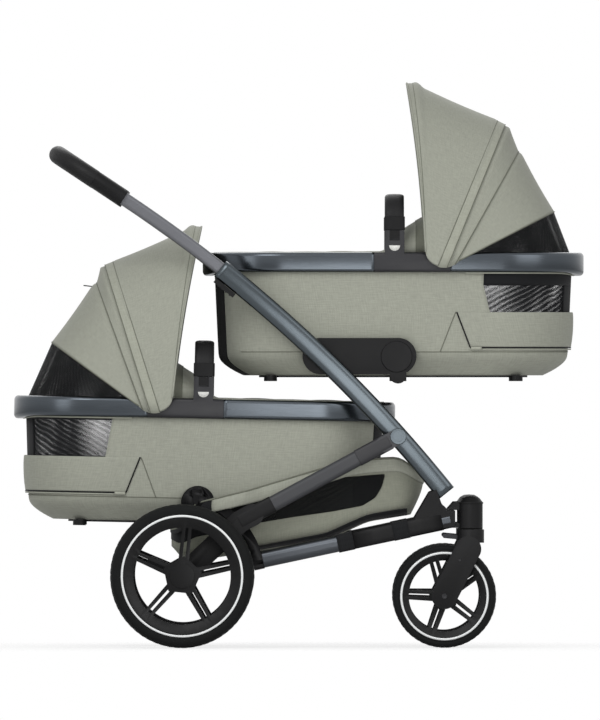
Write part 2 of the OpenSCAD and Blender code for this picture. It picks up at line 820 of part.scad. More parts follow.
module rim_side_shape() {
    socket_y = rim_mid_y - rim_t / 2;
    difference() {
        union() {
            translate([rim_from, rim_mid_y, 0]) rotate([90, 0, 90])
                linear_extrude(rim_to - rim_from) polygon(rim_section);
            translate([carry_x - carry_w / 2, socket_y, -rim_h / 2])
                cube([carry_w, rim_t - seat, socket_h + rim_h / 2]);
            cross_bar(pivot, rim_mid_y, front_half_w + hood_wall, hood_pin_r);
            cross_bar(pivot, rim_mid_y, front_half_w - 2 * hood_nest - seat, hood_boss_r);
            cross_bar(pivot, front_half_w + seat, front_half_w + hood_wall, hood_boss_r);
        }
        translate([carry_x - tongue_w / 2 - seat, rim_mid_y - tongue_t / 2 - seat, tongue_z - seat])
            cube([tongue_w + 2 * seat, tongue_t + 2 * seat, tongue_h + seat + overrun]);
        translate([carry_x - catch_w / 2 - seat, cot_w / 2 - catch_t - seat, catch_z - catch_below])
            cube([catch_w + 2 * seat, catch_t + seat + overrun, catch_h + catch_below + overrun]);
    }
}

module half_disc(r) {
    intersection() {
        circle(r = r);
        translate([-r, 0]) square([2 * r, r]);
    }
}

module rim_sides(place) {
    color(black) at_cot(place) for (side = [LEFT, RIGHT]) on_side(side) {
        rim_side_shape();
        translate([carry_x, cot_w / 2 - seat, label_top]) rotate([-90, 0, 0])
            linear_extrude(label_t) half_disc(label_r);
    }
}

// Tub: outlines from the underside up the outer wall, and down the inner wall to the floor
function tub_top(outline) = [for (p = outline) [p.x, p.y, -rim_h * (1 + rim_drop(p.x)) - seat]];
function tub_rings(wall) = let (
        l = tub_half_l - wall, w = tub_half_w - wall, r = cot_corner - tub_inset_w - wall) [
    plan(l - tub_taper_l - tub_chamfer_l, w - tub_taper_w - tub_chamfer_w, r - tub_chamfer_w, edge_n),
    plan(l - tub_taper_l, w - tub_taper_w, r, edge_n),
    plan(l, w, r, edge_n)];

module tub(place) {
    outer = tub_rings(0);
    inner = tub_rings(tub_wall);
    floor_z = tub_floor - cot_depth;
    color(sage) at_cot(place) skin([
        lift(outer[0], -cot_depth), lift(outer[1], tub_chamfer_h - cot_depth), tub_top(outer[2]),
        tub_top(inner[2]), lift(inner[1], tub_chamfer_h - cot_depth), lift(inner[0], floor_z)]);
}

module base(place) {
    color(black) at_cot(place) {
        translate([0, 0, -cot_depth - base_t]) linear_extrude(base_t)
            polygon(plan(base_l / 2, base_w / 2, base_corner, edge_n));
        for (x = [-1, 1], y = [-1, 1]) translate([x * foot_x, y * foot_y, -cot_depth - base_t - foot_h])
            cylinder(d = foot_d, h = foot_h + base_t);
    }
}

// Mattress: drawn in along its sides and crowned on top
function drawn_in(outline, l) = [for (p = outline) let (waist = cos(90 * min(1, abs(p.x) / l)))
    [p.x, p.y * (1 - draw_share * waist * waist)]];

module mattress(place) {
    l = tub_half_l - tub_wall - tub_taper_l - tub_chamfer_l - mattress_gap;
    w = tub_half_w - tub_wall - tub_taper_w - tub_chamfer_w - mattress_gap;
    r = cot_corner - tub_inset_w - tub_chamfer_w - tub_wall;
    z0 = tub_floor - cot_depth + seat;
    inset_shares = [0.06, 0, 0, 0.04, 0.22, 0.5, 0.78];
    rise_shares = [0, 0.2, 0.6, 0.9, 1, 1, 1];
    crown_shares = [0, 0, 0, 0.1, 0.5, 0.85, 1];
    color("white") at_cot(place) skin([for (i = [0 : len(inset_shares) - 1]) let (inset = inset_shares[i] * w)
        lift(drawn_in(plan(l - inset, w - inset, r * (1 - inset_shares[i]), edge_n), l),
            z0 + mattress_h * rise_shares[i] + crown_rise * crown_shares[i])]);
}

// Apron: stations from the foot end, each [x, half width, height of the middle]
turn_shares = [0.95, 0.85, 0.7, 0.5, 0.25, 0];
flat_shares = [0.6, 0.25, 0.06];
flap_shares = [0.35, 0.65, 1];
function apron_stations() = let (
        l = cot_l / 2 - rim_t - seat, w = cot_w / 2 - rim_t - seat, r = cot_corner - rim_t)
    concat([for (t = turn_shares)
            [r - l - r * sin(90 * t), w - r + r * cos(90 * t), apron_rise * (1 - t / 2)]],
        [for (t = flat_shares) [(r - l) * t, w, apron_rise]],
        [for (t = flap_shares) [flap_to * t, w, apron_rise + (flap_rise - apron_rise) * sin(90 * t)]]);
function apron_arc(x, w, h) = [for (k = [0 : arch_n]) let (t = 1 - 2 * k / arch_n)
    [x, w * t, h * sqrt(max(0, 1 - pow(abs(t), apron_power)))]];
function apron_ring(s) = concat(apron_arc(s[0], s[1], s[2] + apron_t), [for (k = [arch_n : -1 : 0])
    let (p = apron_arc(s[0], s[1] - apron_t, s[2])[k]) [p.x, p.y, p.z - apron_t / 2]]);

module apron(place) {
    color(sage) at_cot(place) translate([0, 0, apron_t]) skin([for (s = apron_stations()) apron_ring(s)]);
}

// Hood: each line is [base, crown] in the side view, and each ring is an arch over that line
function hood_line(i, inset) = [
    i < 3 ? pivot + hood_hub_r * hood_base_shares[i]
        : [pivot_x + hood_hub_r * hood_rear_base_shares[i - 3], seat],
    polar(pivot, hood_r * hood_reach_shares[i] - inset, hood_angles[i])];
function arch(line, w, inset) = let (reach = norm(line[1] - line[0]))
    [for (k = [0 : arch_n]) let (a = 180 * k / arch_n,
        h = pow(abs(sin(a)), 2 / arch_power) * (1 - inset / reach), at = between(line[0], line[1], h))
        [at.x, (w - inset) * sign(cos(a)) * pow(abs(cos(a)), 2 / arch_power), at.y]];
function hood_ring(line, w) = concat(arch(line, w, 0),
    [for (k = [arch_n : -1 : 0]) arch(line, w, hood_wall)[k]]);
function hood_rings(first, last, w, inset) = [for (k = [0 : panel_n * (last - first)])
    let (i = min(last - 1, first + floor(k / panel_n)), t = k / panel_n + first - i,
        a = hood_line(i, inset), b = hood_line(i + 1, inset))
    hood_ring([between(a[0], b[0], t), between(a[1], b[1], t)], w)];

module hood_hubs(w) {
    for (side = [LEFT, RIGHT]) on_side(side) cross_bar(pivot, w - hood_wall, w, hood_hub_r);
}

module hood_panel(rings, w) {
    difference() {
        union() {
            skin(rings);
            hood_hubs(w);
        }
        cross_bar(pivot, -2 * w, 2 * w, hood_pin_r + fit);
    }
}

module hood_front(place) {
    color(sage) at_cot(place) hood_panel(hood_rings(0, 2, front_half_w, 0), front_half_w);
}

module hood_mid(place) {
    w = front_half_w - hood_nest;
    a = hood_line(2, hood_nest);
    b = hood_line(3, hood_nest);
    rings = [for (k = [0 : panel_n]) hood_ring([a[0], between(a[1], b[1], k / panel_n)], w)];
    color(sage) at_cot(place) hood_panel(rings, w);
}

module hood_rear(place) {
    color(sage_dark) at_cot(place) skin(hood_rings(3, 5, rear_half_w, 2 * hood_nest));
}

// Carry handle: an arch over the cot with a tongue in each socket
module carry_handle(place) {
    inner = rim_mid_y - carry_t / 2;
    low = socket_h + seat;
    color(black) at_cot(place) translate([carry_x, 0, 0]) {
        for (side = [LEFT, RIGHT]) on_side(side) {
            translate([-carry_w / 2, inner, low]) cube([carry_w, carry_t, carry_h - carry_bend - low]);
            translate([-tongue_w / 2, rim_mid_y - tongue_t / 2, tongue_z])
                cube([tongue_w, tongue_t, tongue_h + carry_t]);
            translate([0, inner + carry_t - carry_bend, carry_h - carry_bend]) rotate([90, 0, 90])
                rotate_extrude(angle = 90) translate([carry_bend - carry_t, -carry_w / 2])
                    square([carry_t, carry_w]);
        }
        translate([-carry_w / 2, carry_bend - inner - carry_t, carry_h - carry_t])
            cube([carry_w, 2 * (inner + carry_t - carry_bend), carry_t]);
    }
}

module catches(place) {
    color(black) at_cot(place) for (side = [LEFT, RIGHT]) on_side(side)
        translate([carry_x - catch_w / 2, cot_w / 2 - catch_t, catch_z]) cube([catch_w, catch_t, catch_h]);
}

main_tube(LEFT);  // main_tube_left
main_tube(RIGHT);  // main_tube_right
front_hub(LEFT);  // front_hub_left
front_hub(RIGHT);  // front_hub_right
front_cross_tube();
lower_bar(LEFT);  // lower_bar_left
lower_bar(RIGHT);  // lower_bar_right
basket();
upper_adapter(LEFT);  // upper_adapter_left
upper_adapter(RIGHT);  // upper_adapter_right
lower_adapter(LEFT);  // lower_adapter_left
lower_adapter(RIGHT);  // lower_adapter_right
leg_pins();
handlebar();
handle_grip();
handle_sleeves();
height_button(LEFT);  // height_button_left
height_button(RIGHT);  // height_button_right
fold_slider(LEFT);  // fold_slider_left
fold_slider(RIGHT);  // fold_slider_right
rear_leg(LEFT);  // rear_leg_left
rear_leg(RIGHT);  // rear_leg_right
axle_housing(LEFT);  // axle_housing_left
axle_housing(RIGHT);  // axle_housing_right
rear_axle();
brake_pedal();
rear_tyre(LEFT);  // rear_tyre_left
rear_tyre(RIGHT);  // rear_tyre_right
rear_rim(LEFT);  // rear_rim_left
rear_rim(RIGHT);  // rear_rim_right
front_fork(LEFT);  // front_fork_left
front_fork(RIGHT);  // front_fork_right
front_tyre(LEFT);  // front_tyre_left
front_tyre(RIGHT);  // front_tyre_right
front_rim(LEFT);  // front_rim_left
front_rim(RIGHT);  // front_rim_right
swivel_lock(LEFT);  // swivel_lock_left
swivel_lock(RIGHT);  // swivel_lock_right
rim_bows("upper");  // upper_rim_bows
rim_sides("upper");  // upper_rim_sides
tub("upper");  // upper_tub
base("upper");  // upper_base
mattress("upper");  // upper_mattress
apron("upper");  // upper_apron
hood_front("upper");  // upper_hood_front
hood_mid("upper");  // upper_hood_mid
hood_rear("upper");  // upper_hood_rear
carry_handle("upper");  // upper_carry_handle
catches("upper");  // upper_catches
rim_bows("lower");  // lower_rim_bows
rim_sides("lower");  // lower_rim_sides
tub("lower");  // lower_tub
base("lower");  // lower_base
mattress("lower");  // lower_mattress
apron("lower");  // lower_apron
hood_front("lower");  // lower_hood_front
hood_mid("lower");  // lower_hood_mid
hood_rear("lower");  // lower_hood_rear
carry_handle("lower");  // lower_carry_handle
catches("lower");  // lower_catches
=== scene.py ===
"""Twin pram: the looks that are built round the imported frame."""

from __future__ import annotations

import logging
import math
from dataclasses import dataclass
from enum import Enum
from typing import Callable, Sequence

import bmesh
import bpy
from mathutils import Matrix, Vector

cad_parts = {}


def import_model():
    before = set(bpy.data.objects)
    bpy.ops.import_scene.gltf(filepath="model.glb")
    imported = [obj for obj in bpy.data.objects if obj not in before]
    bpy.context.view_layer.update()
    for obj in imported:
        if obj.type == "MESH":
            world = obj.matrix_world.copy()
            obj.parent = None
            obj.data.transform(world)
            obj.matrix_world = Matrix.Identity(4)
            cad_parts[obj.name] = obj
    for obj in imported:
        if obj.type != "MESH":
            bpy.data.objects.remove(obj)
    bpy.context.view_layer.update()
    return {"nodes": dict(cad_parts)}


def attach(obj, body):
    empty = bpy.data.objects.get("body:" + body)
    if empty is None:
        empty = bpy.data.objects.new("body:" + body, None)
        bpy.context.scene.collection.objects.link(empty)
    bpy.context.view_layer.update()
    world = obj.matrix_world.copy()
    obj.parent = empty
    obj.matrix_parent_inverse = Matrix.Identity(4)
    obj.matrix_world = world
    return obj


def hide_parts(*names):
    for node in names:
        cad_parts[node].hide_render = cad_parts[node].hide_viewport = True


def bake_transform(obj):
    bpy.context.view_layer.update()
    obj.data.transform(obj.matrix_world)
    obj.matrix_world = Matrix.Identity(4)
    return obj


LOG = logging.getLogger("pram")
MM = 0.001
Point = tuple[float, float]
Point3 = tuple[float, float, float]
Mark = tuple[float, float, float, int]
Place = Callable[[float, float], Vector]
BMesh = bmesh.types.BMesh
Node = bpy.types.Node
Piece = bpy.types.Object
Socket = bpy.types.NodeSocket
Tree = bpy.types.NodeTree
SIDES = ((-1, "right"), (1, "left"))
# How near points are merged, in millimetres
MERGE = 0.01
# How far round a swept section counts for its weave, in millimetres
SECTION_ROUND = 60.0
# A slanted direction, along which no seam runs
SKEW = Vector((0.21, 0.34, 0.91))
# The range that holds most of a noise's values
NOISE = (0.25, 0.75)


# Small helpers


def linear(hex_colour: str) -> tuple[float, float, float, float]:
    """Turns an sRGB hex colour to linear light.

    Args:
        hex_colour: six hex digits, with or without a leading hash.

    Returns:
        Red, green, blue and an alpha of 1.
    """
    digits = hex_colour.lstrip("#")
    parts = [int(digits[i : i + 2], 16) / 255 for i in (0, 2, 4)]
    r, g, b = (c / 12.92 if c <= 0.04045 else ((c + 0.055) / 1.055) ** 2.4 for c in parts)
    return (r, g, b, 1.0)


def add_node(tree: Tree, kind: str, inputs: dict, **settings: object) -> Node:
    """Adds a node with its settings, and links or sets its sockets.

    Args:
        tree: the node tree.
        kind: the node's type name.
        inputs: a value or another node's output for each socket, by name or number.
        settings: the node's own properties.

    Returns:
        The node.
    """
    node = tree.nodes.new(kind)
    for name, value in settings.items():
        setattr(node, name, value)
    for name, value in inputs.items():
        if isinstance(value, Socket):
            tree.links.new(value, node.inputs[name])
        else:
            node.inputs[name].default_value = value
    return node


def between(start: float, end: float, share: float) -> float:
    """The value at a share of the way from one to another."""
    return start + (end - start) * share


def steps(value: float, table: Sequence[Point], ease: float) -> float:
    """Reads a table of rising values, with its corners rounded.

    Args:
        value: where to read.
        table: pairs of place and height.
        ease: how far to each side the corners are rounded.

    Returns:
        The height.
    """

    def plain(at: float) -> float:
        """The height on the straight lines between the pairs."""
        if at <= table[0][0]:
            return table[0][1]
        for (x0, y0), (x1, y1) in zip(table, table[1:]):
            if at <= x1:
                return between(y0, y1, (at - x0) / (x1 - x0))
        return table[-1][1]

    return sum(plain(value + ease * k / 3) for k in range(-3, 4)) / 7


def patch(across: int, along: int, place: Place, size: Point) -> BMesh:
    """Makes a grid of quads and lays it on a surface.

    Args:
        across: quads in the first direction.
        along: quads in the second direction.
        place: gives a point in millimetres for two shares from 0 to 1.
        size: the patch's flat width and length in millimetres, for its weave.

    Returns:
        The mesh, in metres.
    """
    bm = bmesh.new()
    uv = bm.loops.layers.uv.new("cloth")
    bmesh.ops.create_grid(bm, x_segments=across, y_segments=along, size=0.5, calc_uvs=True)
    for face in bm.faces:
        for loop in face.loops:
            loop[uv].uv = ((loop.vert.co.x + 0.5) * size[0] * MM, (loop.vert.co.y + 0.5) * size[1] * MM)
    for vert in bm.verts:
        vert.co = place(vert.co.x + 0.5, vert.co.y + 0.5) * MM
    return bm


def joined(parts: Sequence[BMesh], merge: float = 0.02) -> BMesh:
    """Joins meshes into the first and merges the points that meet.

    Args:
        parts: the meshes; all but the first are freed.
        merge: how near points are merged, in millimetres.

    Returns:
        The first mesh with all of them.
    """
    whole = parts[0]
    for part in parts[1:]:
        spare = bpy.data.meshes.new("spare")
        part.to_mesh(spare)
        part.free()
        whole.from_mesh(spare)
        bpy.data.meshes.remove(spare)
    bmesh.ops.remove_doubles(whole, verts=whole.verts[:], dist=merge * MM)
    return whole


def closed(bm: BMesh) -> BMesh:
    """Merges the points that meet, fills the open ends and turns the faces outward."""
    bmesh.ops.remove_doubles(bm, verts=bm.verts[:], dist=MERGE * MM)
    bmesh.ops.holes_fill(bm, edges=[e for e in bm.edges if e.is_boundary], sides=0)
    bmesh.ops.recalc_face_normals(bm, faces=bm.faces[:])
    return bm


def sweep(points: Sequence[Vector], aside: Vector, section: Sequence[Point], count: int) -> BMesh:
    """Carries a closed section along a path and closes both ends.

    Args:
        points: the path's points in millimetres.
        aside: a direction that stays across the path.
        section: the closed section's points in millimetres.
        count: quads along the path.

    Returns:
        The closed mesh.
    """
    ring, last = len(section), len(points) - 1
    length = sum((b - a).length for a, b in zip(points, points[1:]))

    def place(u: float, v: float) -> Vector:
        """The point of the section at a share of the path."""
        i = min(int(u * last), last - 1)
        at = points[i].lerp(points[i + 1], u * last - i)
        way = points[min(i + 2, last)] - points[max(i - 1, 0)]
        across = way.cross(aside).normalized()
        a, b = section[round(v * ring) % ring]
        return at + across * a + way.cross(across).normalized() * b

    return closed(patch(count, ring, place, (length, SECTION_ROUND)))


def round_section(r: float, count: int = 8) -> list[Point]:
    """The points of a circle."""
    turns = [2 * math.pi * k / count for k in range(count)]
    return [(r * math.cos(a), r * math.sin(a)) for a in turns]


def rounded_section(half_w: float, half_h: float, power: float, count: int = 32) -> list[Point]:
    """The points of a rectangle with soft corners, by the power of its curve."""
    points = []
    for k in range(count):
        a = 2 * math.pi * (k + 0.5) / count
        c, s = math.cos(a), math.sin(a)
        grow = (abs(c) ** power + abs(s) ** power) ** (-1 / power)
        points.append((half_w * c * grow, half_h * s * grow))
    return points


def line(place: Place, u: float, count: int = 120) -> list[Vector]:
    """Points along a sheet, at one share of its first direction."""
    return [place(u, k / count) for k in range(count + 1)]


# Finishes


class Coords(Enum):
    """What a finish's pattern follows."""

    OBJECT = "Object"
    CLOTH = "UV"


@dataclass(frozen=True)
class Finish:
    """A surface: its colour, its gloss and a fine grain."""

    name: str
    colour: str
    roughness: float
    metallic: float = 0.0
    ior: float = 1.5
    sheen: float = 0.0
    grain_mm: float = 1.2
    grain_depth: float = 0.15
    mottle: float = 0.12
    tone_mm: float = 60.0
    spread: float = 0.06
    depth_mm: float = 0.2
    coords: Coords = Coords.OBJECT

    def material(self) -> bpy.types.Material:
        """Builds the material, or returns it where it exists.

        Returns:
            The material.
        """
        found = bpy.data.materials.get(self.name)
        if found:
            return found
        made = bpy.data.materials.new(self.name)
        made.use_nodes = True
        tree = made.node_tree
        shader = tree.nodes["Principled BSDF"]
        shader.inputs["Metallic"].default_value = self.metallic
        if not self.metallic:
            shader.inputs["IOR"].default_value = self.ior
        shader.inputs["Sheen Weight"].default_value = self.sheen
        shader.inputs["Sheen Roughness"].default_value = 0.5
        place = add_node(tree, "ShaderNodeTexCoord", {}).outputs[self.coords.value]
        self.dress(tree, shader, place)
        return made

    def noise(self, tree: Tree, place: Socket, size_mm: float,
              stretch: Point3 = (1, 1, 1), detail: float = 3.0) -> Socket:
        """Adds noise of a real size.

        Args:
            tree: the node tree.
            place: the coordinates.
            size_mm: the size of the noise's lumps.
            stretch: how much longer the lumps are each way.
            detail: how many finer layers there are.

        Returns:
            The noise, from 0 to 1.
        """
        scale = tuple(1 / s for s in stretch)
        mapped = add_node(tree, "ShaderNodeMapping", {"Vector": place, "Scale": scale}).outputs[0]
        return add_node(tree, "ShaderNodeTexNoise",
                        {"Vector": mapped, "Scale": 1 / (size_mm * MM), "Detail": detail}).outputs[0]

    def tint(self, tree: Tree, shader: Node, share: Socket, amount: float) -> None:
        """Links a colour that is lighter and darker by a share.

        Args:
            tree: the node tree.
            shader: the surface shader.
            share: a pattern from 0 to 1.
            amount: how far the colour moves each way.
        """
        base = linear(self.colour)
        dark = tuple(c * (1 - amount) for c in base[:3]) + (1.0,)
        light = tuple(min(1.0, c * (1 + amount)) for c in base[:3]) + (1.0,)
        most = add_node(tree, "ShaderNodeMapRange", {0: share, 1: NOISE[0], 2: NOISE[1]}).outputs[0]
        node = add_node(tree, "ShaderNodeMix", {0: most, 6: dark, 7: light}, data_type="RGBA")
        tree.links.new(node.outputs[2], shader.inputs["Base Color"])

    def gloss(self, tree: Tree, shader: Node, share: Socket) -> None:
        """Links a roughness that varies a little about its own value.

        Args:
            tree: the node tree.
            shader: the surface shader.
            share: a pattern from 0 to 1.
        """
        low, high = self.roughness - self.spread, self.roughness + self.spread
        node = add_node(tree, "ShaderNodeMapRange", {0: share, 1: NOISE[0], 2: NOISE[1], 3: low, 4: high})
        tree.links.new(node.outputs[0], shader.inputs["Roughness"])

    def bump(self, tree: Tree, shader: Node, height: Socket) -> None:
        """Links a bump to the shader's normal.

        Args:
            tree: the node tree.
            shader: the surface shader.
            height: the pattern's height from 0 to 1.
        """
        node = add_node(tree, "ShaderNodeBump", {"Height": height, "Strength": self.grain_depth,
                                                 "Distance": self.depth_mm * MM})
        tree.links.new(node.outputs[0], shader.inputs["Normal"])

    def dress(self, tree: Tree, shader: Node, place: Socket) -> None:
        """Moulded or coated surface: fine grain, with slow changes of tone and gloss.

        Args:
            tree: the node tree.
            shader: the surface shader.
            place: the coordinates.
        """
        slow = self.noise(tree, place, self.tone_mm)
        fine = self.noise(tree, place, self.grain_mm, detail=2.0)
        self.tint(tree, shader, slow, self.mottle)
        self.gloss(tree, shader, slow)
        self.bump(tree, shader, fine)


@dataclass(frozen=True)
class Woven(Finish):
    """Woven cloth: two sets of threads, flecked yarn and a soft sheen."""

    thread_mm: float = 2.4
    fleck: float = 0.16
    fleck_mm: float = 2.5
    spread: float = 0.04
    depth_mm: float = 0.3
    coords: Coords = Coords.CLOTH

    def dress(self, tree: Tree, shader: Node, place: Socket) -> None:
        """Links threads, flecks and soft shading to the shader.

        Args:
            tree: the node tree.
            shader: the surface shader.
            place: the coordinates.
        """
        # Real threads are 0.5 mm apart; they are drawn coarser so that they show
        wave = 1 / (self.thread_mm * MM) / 20 * math.pi
        threads = {"Vector": place, "Scale": wave, "Distortion": 1.2, "Detail": 1.0}
        warp, weft = (add_node(tree, "ShaderNodeTexWave", threads, bands_direction=way).outputs["Fac"]
                      for way in ("X", "Y"))
        weave = add_node(tree, "ShaderNodeMath", {0: warp, 1: weft}, operation="MULTIPLY").outputs[0]
        long_x, long_y = (self.noise(tree, place, self.fleck_mm, way, 2.0) for way in ((9, 1, 1), (1, 9, 1)))
        flecks = add_node(tree, "ShaderNodeMath", {0: long_x, 1: long_y}, operation="ADD").outputs[0]
        half = add_node(tree, "ShaderNodeMath", {0: flecks, 1: 0.5}, operation="MULTIPLY").outputs[0]
        self.tint(tree, shader, half, self.fleck)
        self.gloss(tree, shader, weave)
        self.bump(tree, shader, weave)


@dataclass(frozen=True)
class Net(Finish):
    """Knitted net: threads that cross on the bias, with see-through holes and slack streaks."""

    thread_mm: float = 1.0
    open_share: float = 0.6
    streak_mm: float = 10.0
    slack: float = 0.12
    bias: float = 24.0
    soft: float = 0.3
    spread: float = 0.05
    depth_mm: float = 0.3
    coords: Coords = Coords.CLOTH

    def dress(self, tree: Tree, shader: Node, place: Socket) -> None:
        """Links the holes to the shader's alpha.

        Args:
            tree: the node tree.
            shader: the surface shader.
            place: the coordinates.
        """
        wave, slow = (2 * math.pi / (20 * size * MM) for size in (self.thread_mm, self.streak_mm))
        bias = (0, 0, math.radians(self.bias))
        turned = add_node(tree, "ShaderNodeMapping", {"Vector": place, "Rotation": bias}).outputs[0]
        threads = {"Vector": turned, "Scale": wave, "Distortion": 0.6}
        one, two = (add_node(tree, "ShaderNodeTexWave", threads, bands_direction=way).outputs["Fac"]
                    for way in ("X", "Y"))
        most = add_node(tree, "ShaderNodeMath", {0: one, 1: two}, operation="MAXIMUM").outputs[0]
        folds = {"Vector": turned, "Scale": slow, "Distortion": 7.0, "Detail": 1.0, "Detail Scale": 0.3}
        streaks = add_node(tree, "ShaderNodeTexWave", folds, bands_direction="Y").outputs["Fac"]
        slack = add_node(tree, "ShaderNodeMapRange", {0: streaks, 3: self.slack, 4: -self.slack}).outputs[0]
        drawn = add_node(tree, "ShaderNodeMath", {0: most, 1: slack}, operation="ADD").outputs[0]
        hole = {0: drawn, 1: self.open_share, 2: self.open_share + self.soft}
        solid = add_node(tree, "ShaderNodeMapRange", hole).outputs[0]
        self.tint(tree, shader, most, self.mottle)
        self.gloss(tree, shader, most)
        tree.links.new(solid, shader.inputs["Alpha"])
        self.bump(tree, shader, most)


@dataclass(frozen=True)
class Brushed(Finish):
    """Drawn or brushed metal under a thin skin: hairlines along the piece."""

    metallic: float = 1.0
    tone_mm: float = 240.0
    spread: float = 0.03
    depth_mm: float = 0.02

    def dress(self, tree: Tree, shader: Node, place: Socket) -> None:
        """Links hairlines and slow tone to the shader.

        Args:
            tree: the node tree.
            shader: the surface shader.
            place: the coordinates.
        """
        lines = self.noise(tree, place, self.grain_mm, (40, 1, 1), 2.0)
        slow = self.noise(tree, place, self.tone_mm, detail=1.0)
        self.tint(tree, shader, slow, self.mottle)
        self.gloss(tree, shader, lines)
        self.bump(tree, shader, lines)


@dataclass(frozen=True)
class Grained(Finish):
    """Leather: pebbled cells with creases between them."""

    tone_mm: float = 30.0
    spread: float = 0.1
    depth_mm: float = 0.4

    def dress(self, tree: Tree, shader: Node, place: Socket) -> None:
        """Links the pebbles to the shader.

        Args:
            tree: the node tree.
            shader: the surface shader.
            place: the coordinates.
        """
        pebbles = {"Vector": place, "Scale": 1 / (self.grain_mm * MM)}
        cells = add_node(tree, "ShaderNodeTexVoronoi", pebbles, feature="F1").outputs["Distance"]
        slow = self.noise(tree, place, self.tone_mm)
        self.tint(tree, shader, slow, self.mottle)
        self.gloss(tree, shader, cells)
        self.bump(tree, shader, cells)


# Dyed polyester canvas: matt, flecked, with a faint sheen at a low angle
SAGE = Woven("sage_canvas", "#97998d", 0.9, sheen=0.12, grain_depth=0.35)
# The same canvas in hems, seams and folds, painted darker: painted shade along the lines where panels overlap
# and fold
SAGE_SEAM_SHADE = Woven("sage_seam_shade", "#6a6c60", 0.9, sheen=0.08, grain_depth=0.35)
# Piping of the same yarn in a tight weave, a little paler
SAGE_PIPING = Woven("sage_piping", "#9b9d90", 0.88, sheen=0.1, thread_mm=1.6)
# The same canvas on the basket, painted darker for the shade under the lower cot
BASKET_SHADED_CANVAS = Woven("basket_shaded_canvas", "#808275", 0.9, sheen=0.1, grain_depth=0.35)
# Black polyester tape: matt, with a plain weave
BLACK_CLOTH = Woven("black_tape", "#121315", 0.85, ior=1.3, sheen=0.05, grain_depth=0.4)
# Black knitted net of the windows: threads with see-through holes
NET = Net("black_net", "#17181a", 0.8, ior=1.3)
# Closer net at the back of the hoods
HOOD_NET = Net("hood_net", "#121314", 0.85, ior=1.28, open_share=0.42, slack=0.14)
# Closest net, of the basket
BASKET_NET = Net("basket_net", "#0b0c0d", 0.85, ior=1.25, open_share=0.02, slack=0.04)
# White cotton knit: soft and matt
KNIT = Woven("cotton_knit", "#d9d8d2", 0.95, sheen=0.2, grain_depth=0.5, thread_mm=3.0,
             coords=Coords.OBJECT)
# Anodised aluminium of the main tubes, grey: a satin metal with drawn lines
ANODISED = Brushed("anodised_aluminium", "#4a5054", 0.25, grain_mm=1.0, grain_depth=0.05, mottle=0.12,
                   coords=Coords.CLOTH)
# The same on the hinge caps, turned
ANODISED_CAP = Brushed("anodised_cap", "#4a5054", 0.3, grain_mm=0.8, grain_depth=0.03, mottle=0.08)
# Anodised aluminium of the cots' rims: the same satin metal, a shade paler
RIM_METAL = Brushed("dark_anodised_rim", "#4d5257", 0.25, grain_mm=1.0, grain_depth=0.04, mottle=0.12,
                    coords=Coords.CLOTH)
# Anodised aluminium of the lower bars, dark grey
BAR_METAL = Brushed("dark_anodised_bar", "#45484c", 0.3, grain_mm=1.0, grain_depth=0.08, mottle=0.25)
# Satin aluminium of the inner tube, lighter
SATIN = Brushed("satin_aluminium", "#68696d", 0.4, grain_mm=1.0, grain_depth=0.15, mottle=0.06)
# Moulded black ABS with a fine spark-eroded grain, which keeps it matt
ABS = Finish("black_abs", "#0d0d0e", 0.5, ior=1.27, grain_mm=1.4, grain_depth=0.2)
# The same in charcoal, on the rims' sides and the leg sleeves
ABS_GREY = Finish("charcoal_abs", "#252528", 0.48, ior=1.38, grain_mm=1.4, grain_depth=0.2)
# Glass-filled nylon of the wheels: black, a little smoother
NYLON = Finish("wheel_nylon", "#070708", 0.42, ior=1.28, grain_mm=1.6, grain_depth=0.1)
# Soft-touch plastic of buttons and levers
BUTTON = Finish("button_abs", "#232326", 0.45, ior=1.35, grain_mm=1.2)
# Powder coat over steel or aluminium: charcoal, with an orange-peel grain
PAINT = Finish("charcoal_powder_coat", "#343538", 0.5, ior=1.4, grain_mm=0.9, grain_depth=0.25)
# Foamed polyurethane tyre: matt, speckled
TYRE = Finish("foam_tyre", "#111212", 0.8, ior=1.25, grain_mm=1.8, grain_depth=0.35)
# Woven reflective tape, pale grey
STRIPE = Finish("reflective_stripe", "#e8eaea", 0.5, grain_mm=1.0, grain_depth=0.05, mottle=0.02)
# Bare plastic label, off white
LABEL = Finish("plain_label", "#e4e4e0", 0.5, grain_mm=1.0, grain_depth=0.05, mottle=0.02)
# Black leather with a pebbled grain
LEATHER = Grained("black_leather", "#111112", 0.52, ior=1.3, grain_mm=1.6, grain_depth=0.3)
# Turned steel, bright
STEEL = Brushed("turned_steel", "#8d8f92", 0.3, grain_mm=0.8, mottle=0.05)


# Pieces


@dataclass(frozen=True)
class Fold:
    """Two bodies that a piece of cloth spans, with a point near each: start near the first and end near the
    second.
    """

    first: str
    second: str
    start: Vector
    end: Vector


def add_piece(name: str, bm: BMesh, finish: Finish, body: str,
              replaces: Sequence[str] = (), fold: Fold | None = None) -> Piece:
    """Makes a piece of the pram from a mesh and sets it on its body.

    Args:
        name: the piece's name.
        bm: its mesh in metres, freed here.
        finish: its surface.
        body: the body that it moves with.
        replaces: the CAD nodes that it stands for.
        fold: where given, the piece rides on no body and stays where it is built.

    Returns:
        The piece.
    """
    mesh = bpy.data.meshes.new(name)
    for face in bm.faces:
        face.smooth = True
    bm.to_mesh(mesh)
    bm.free()
    piece = bpy.data.objects.new(name, mesh)
    bpy.context.scene.collection.objects.link(piece)
    mesh.materials.append(finish.material())
    if fold:
        tuple(fold.start)
        tuple(fold.end)
        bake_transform(piece)
    else:
        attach(piece, body)
    if replaces:
        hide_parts(*replaces)
    LOG.info("%s: %d faces on %s", name, len(mesh.polygons), body)
    return piece


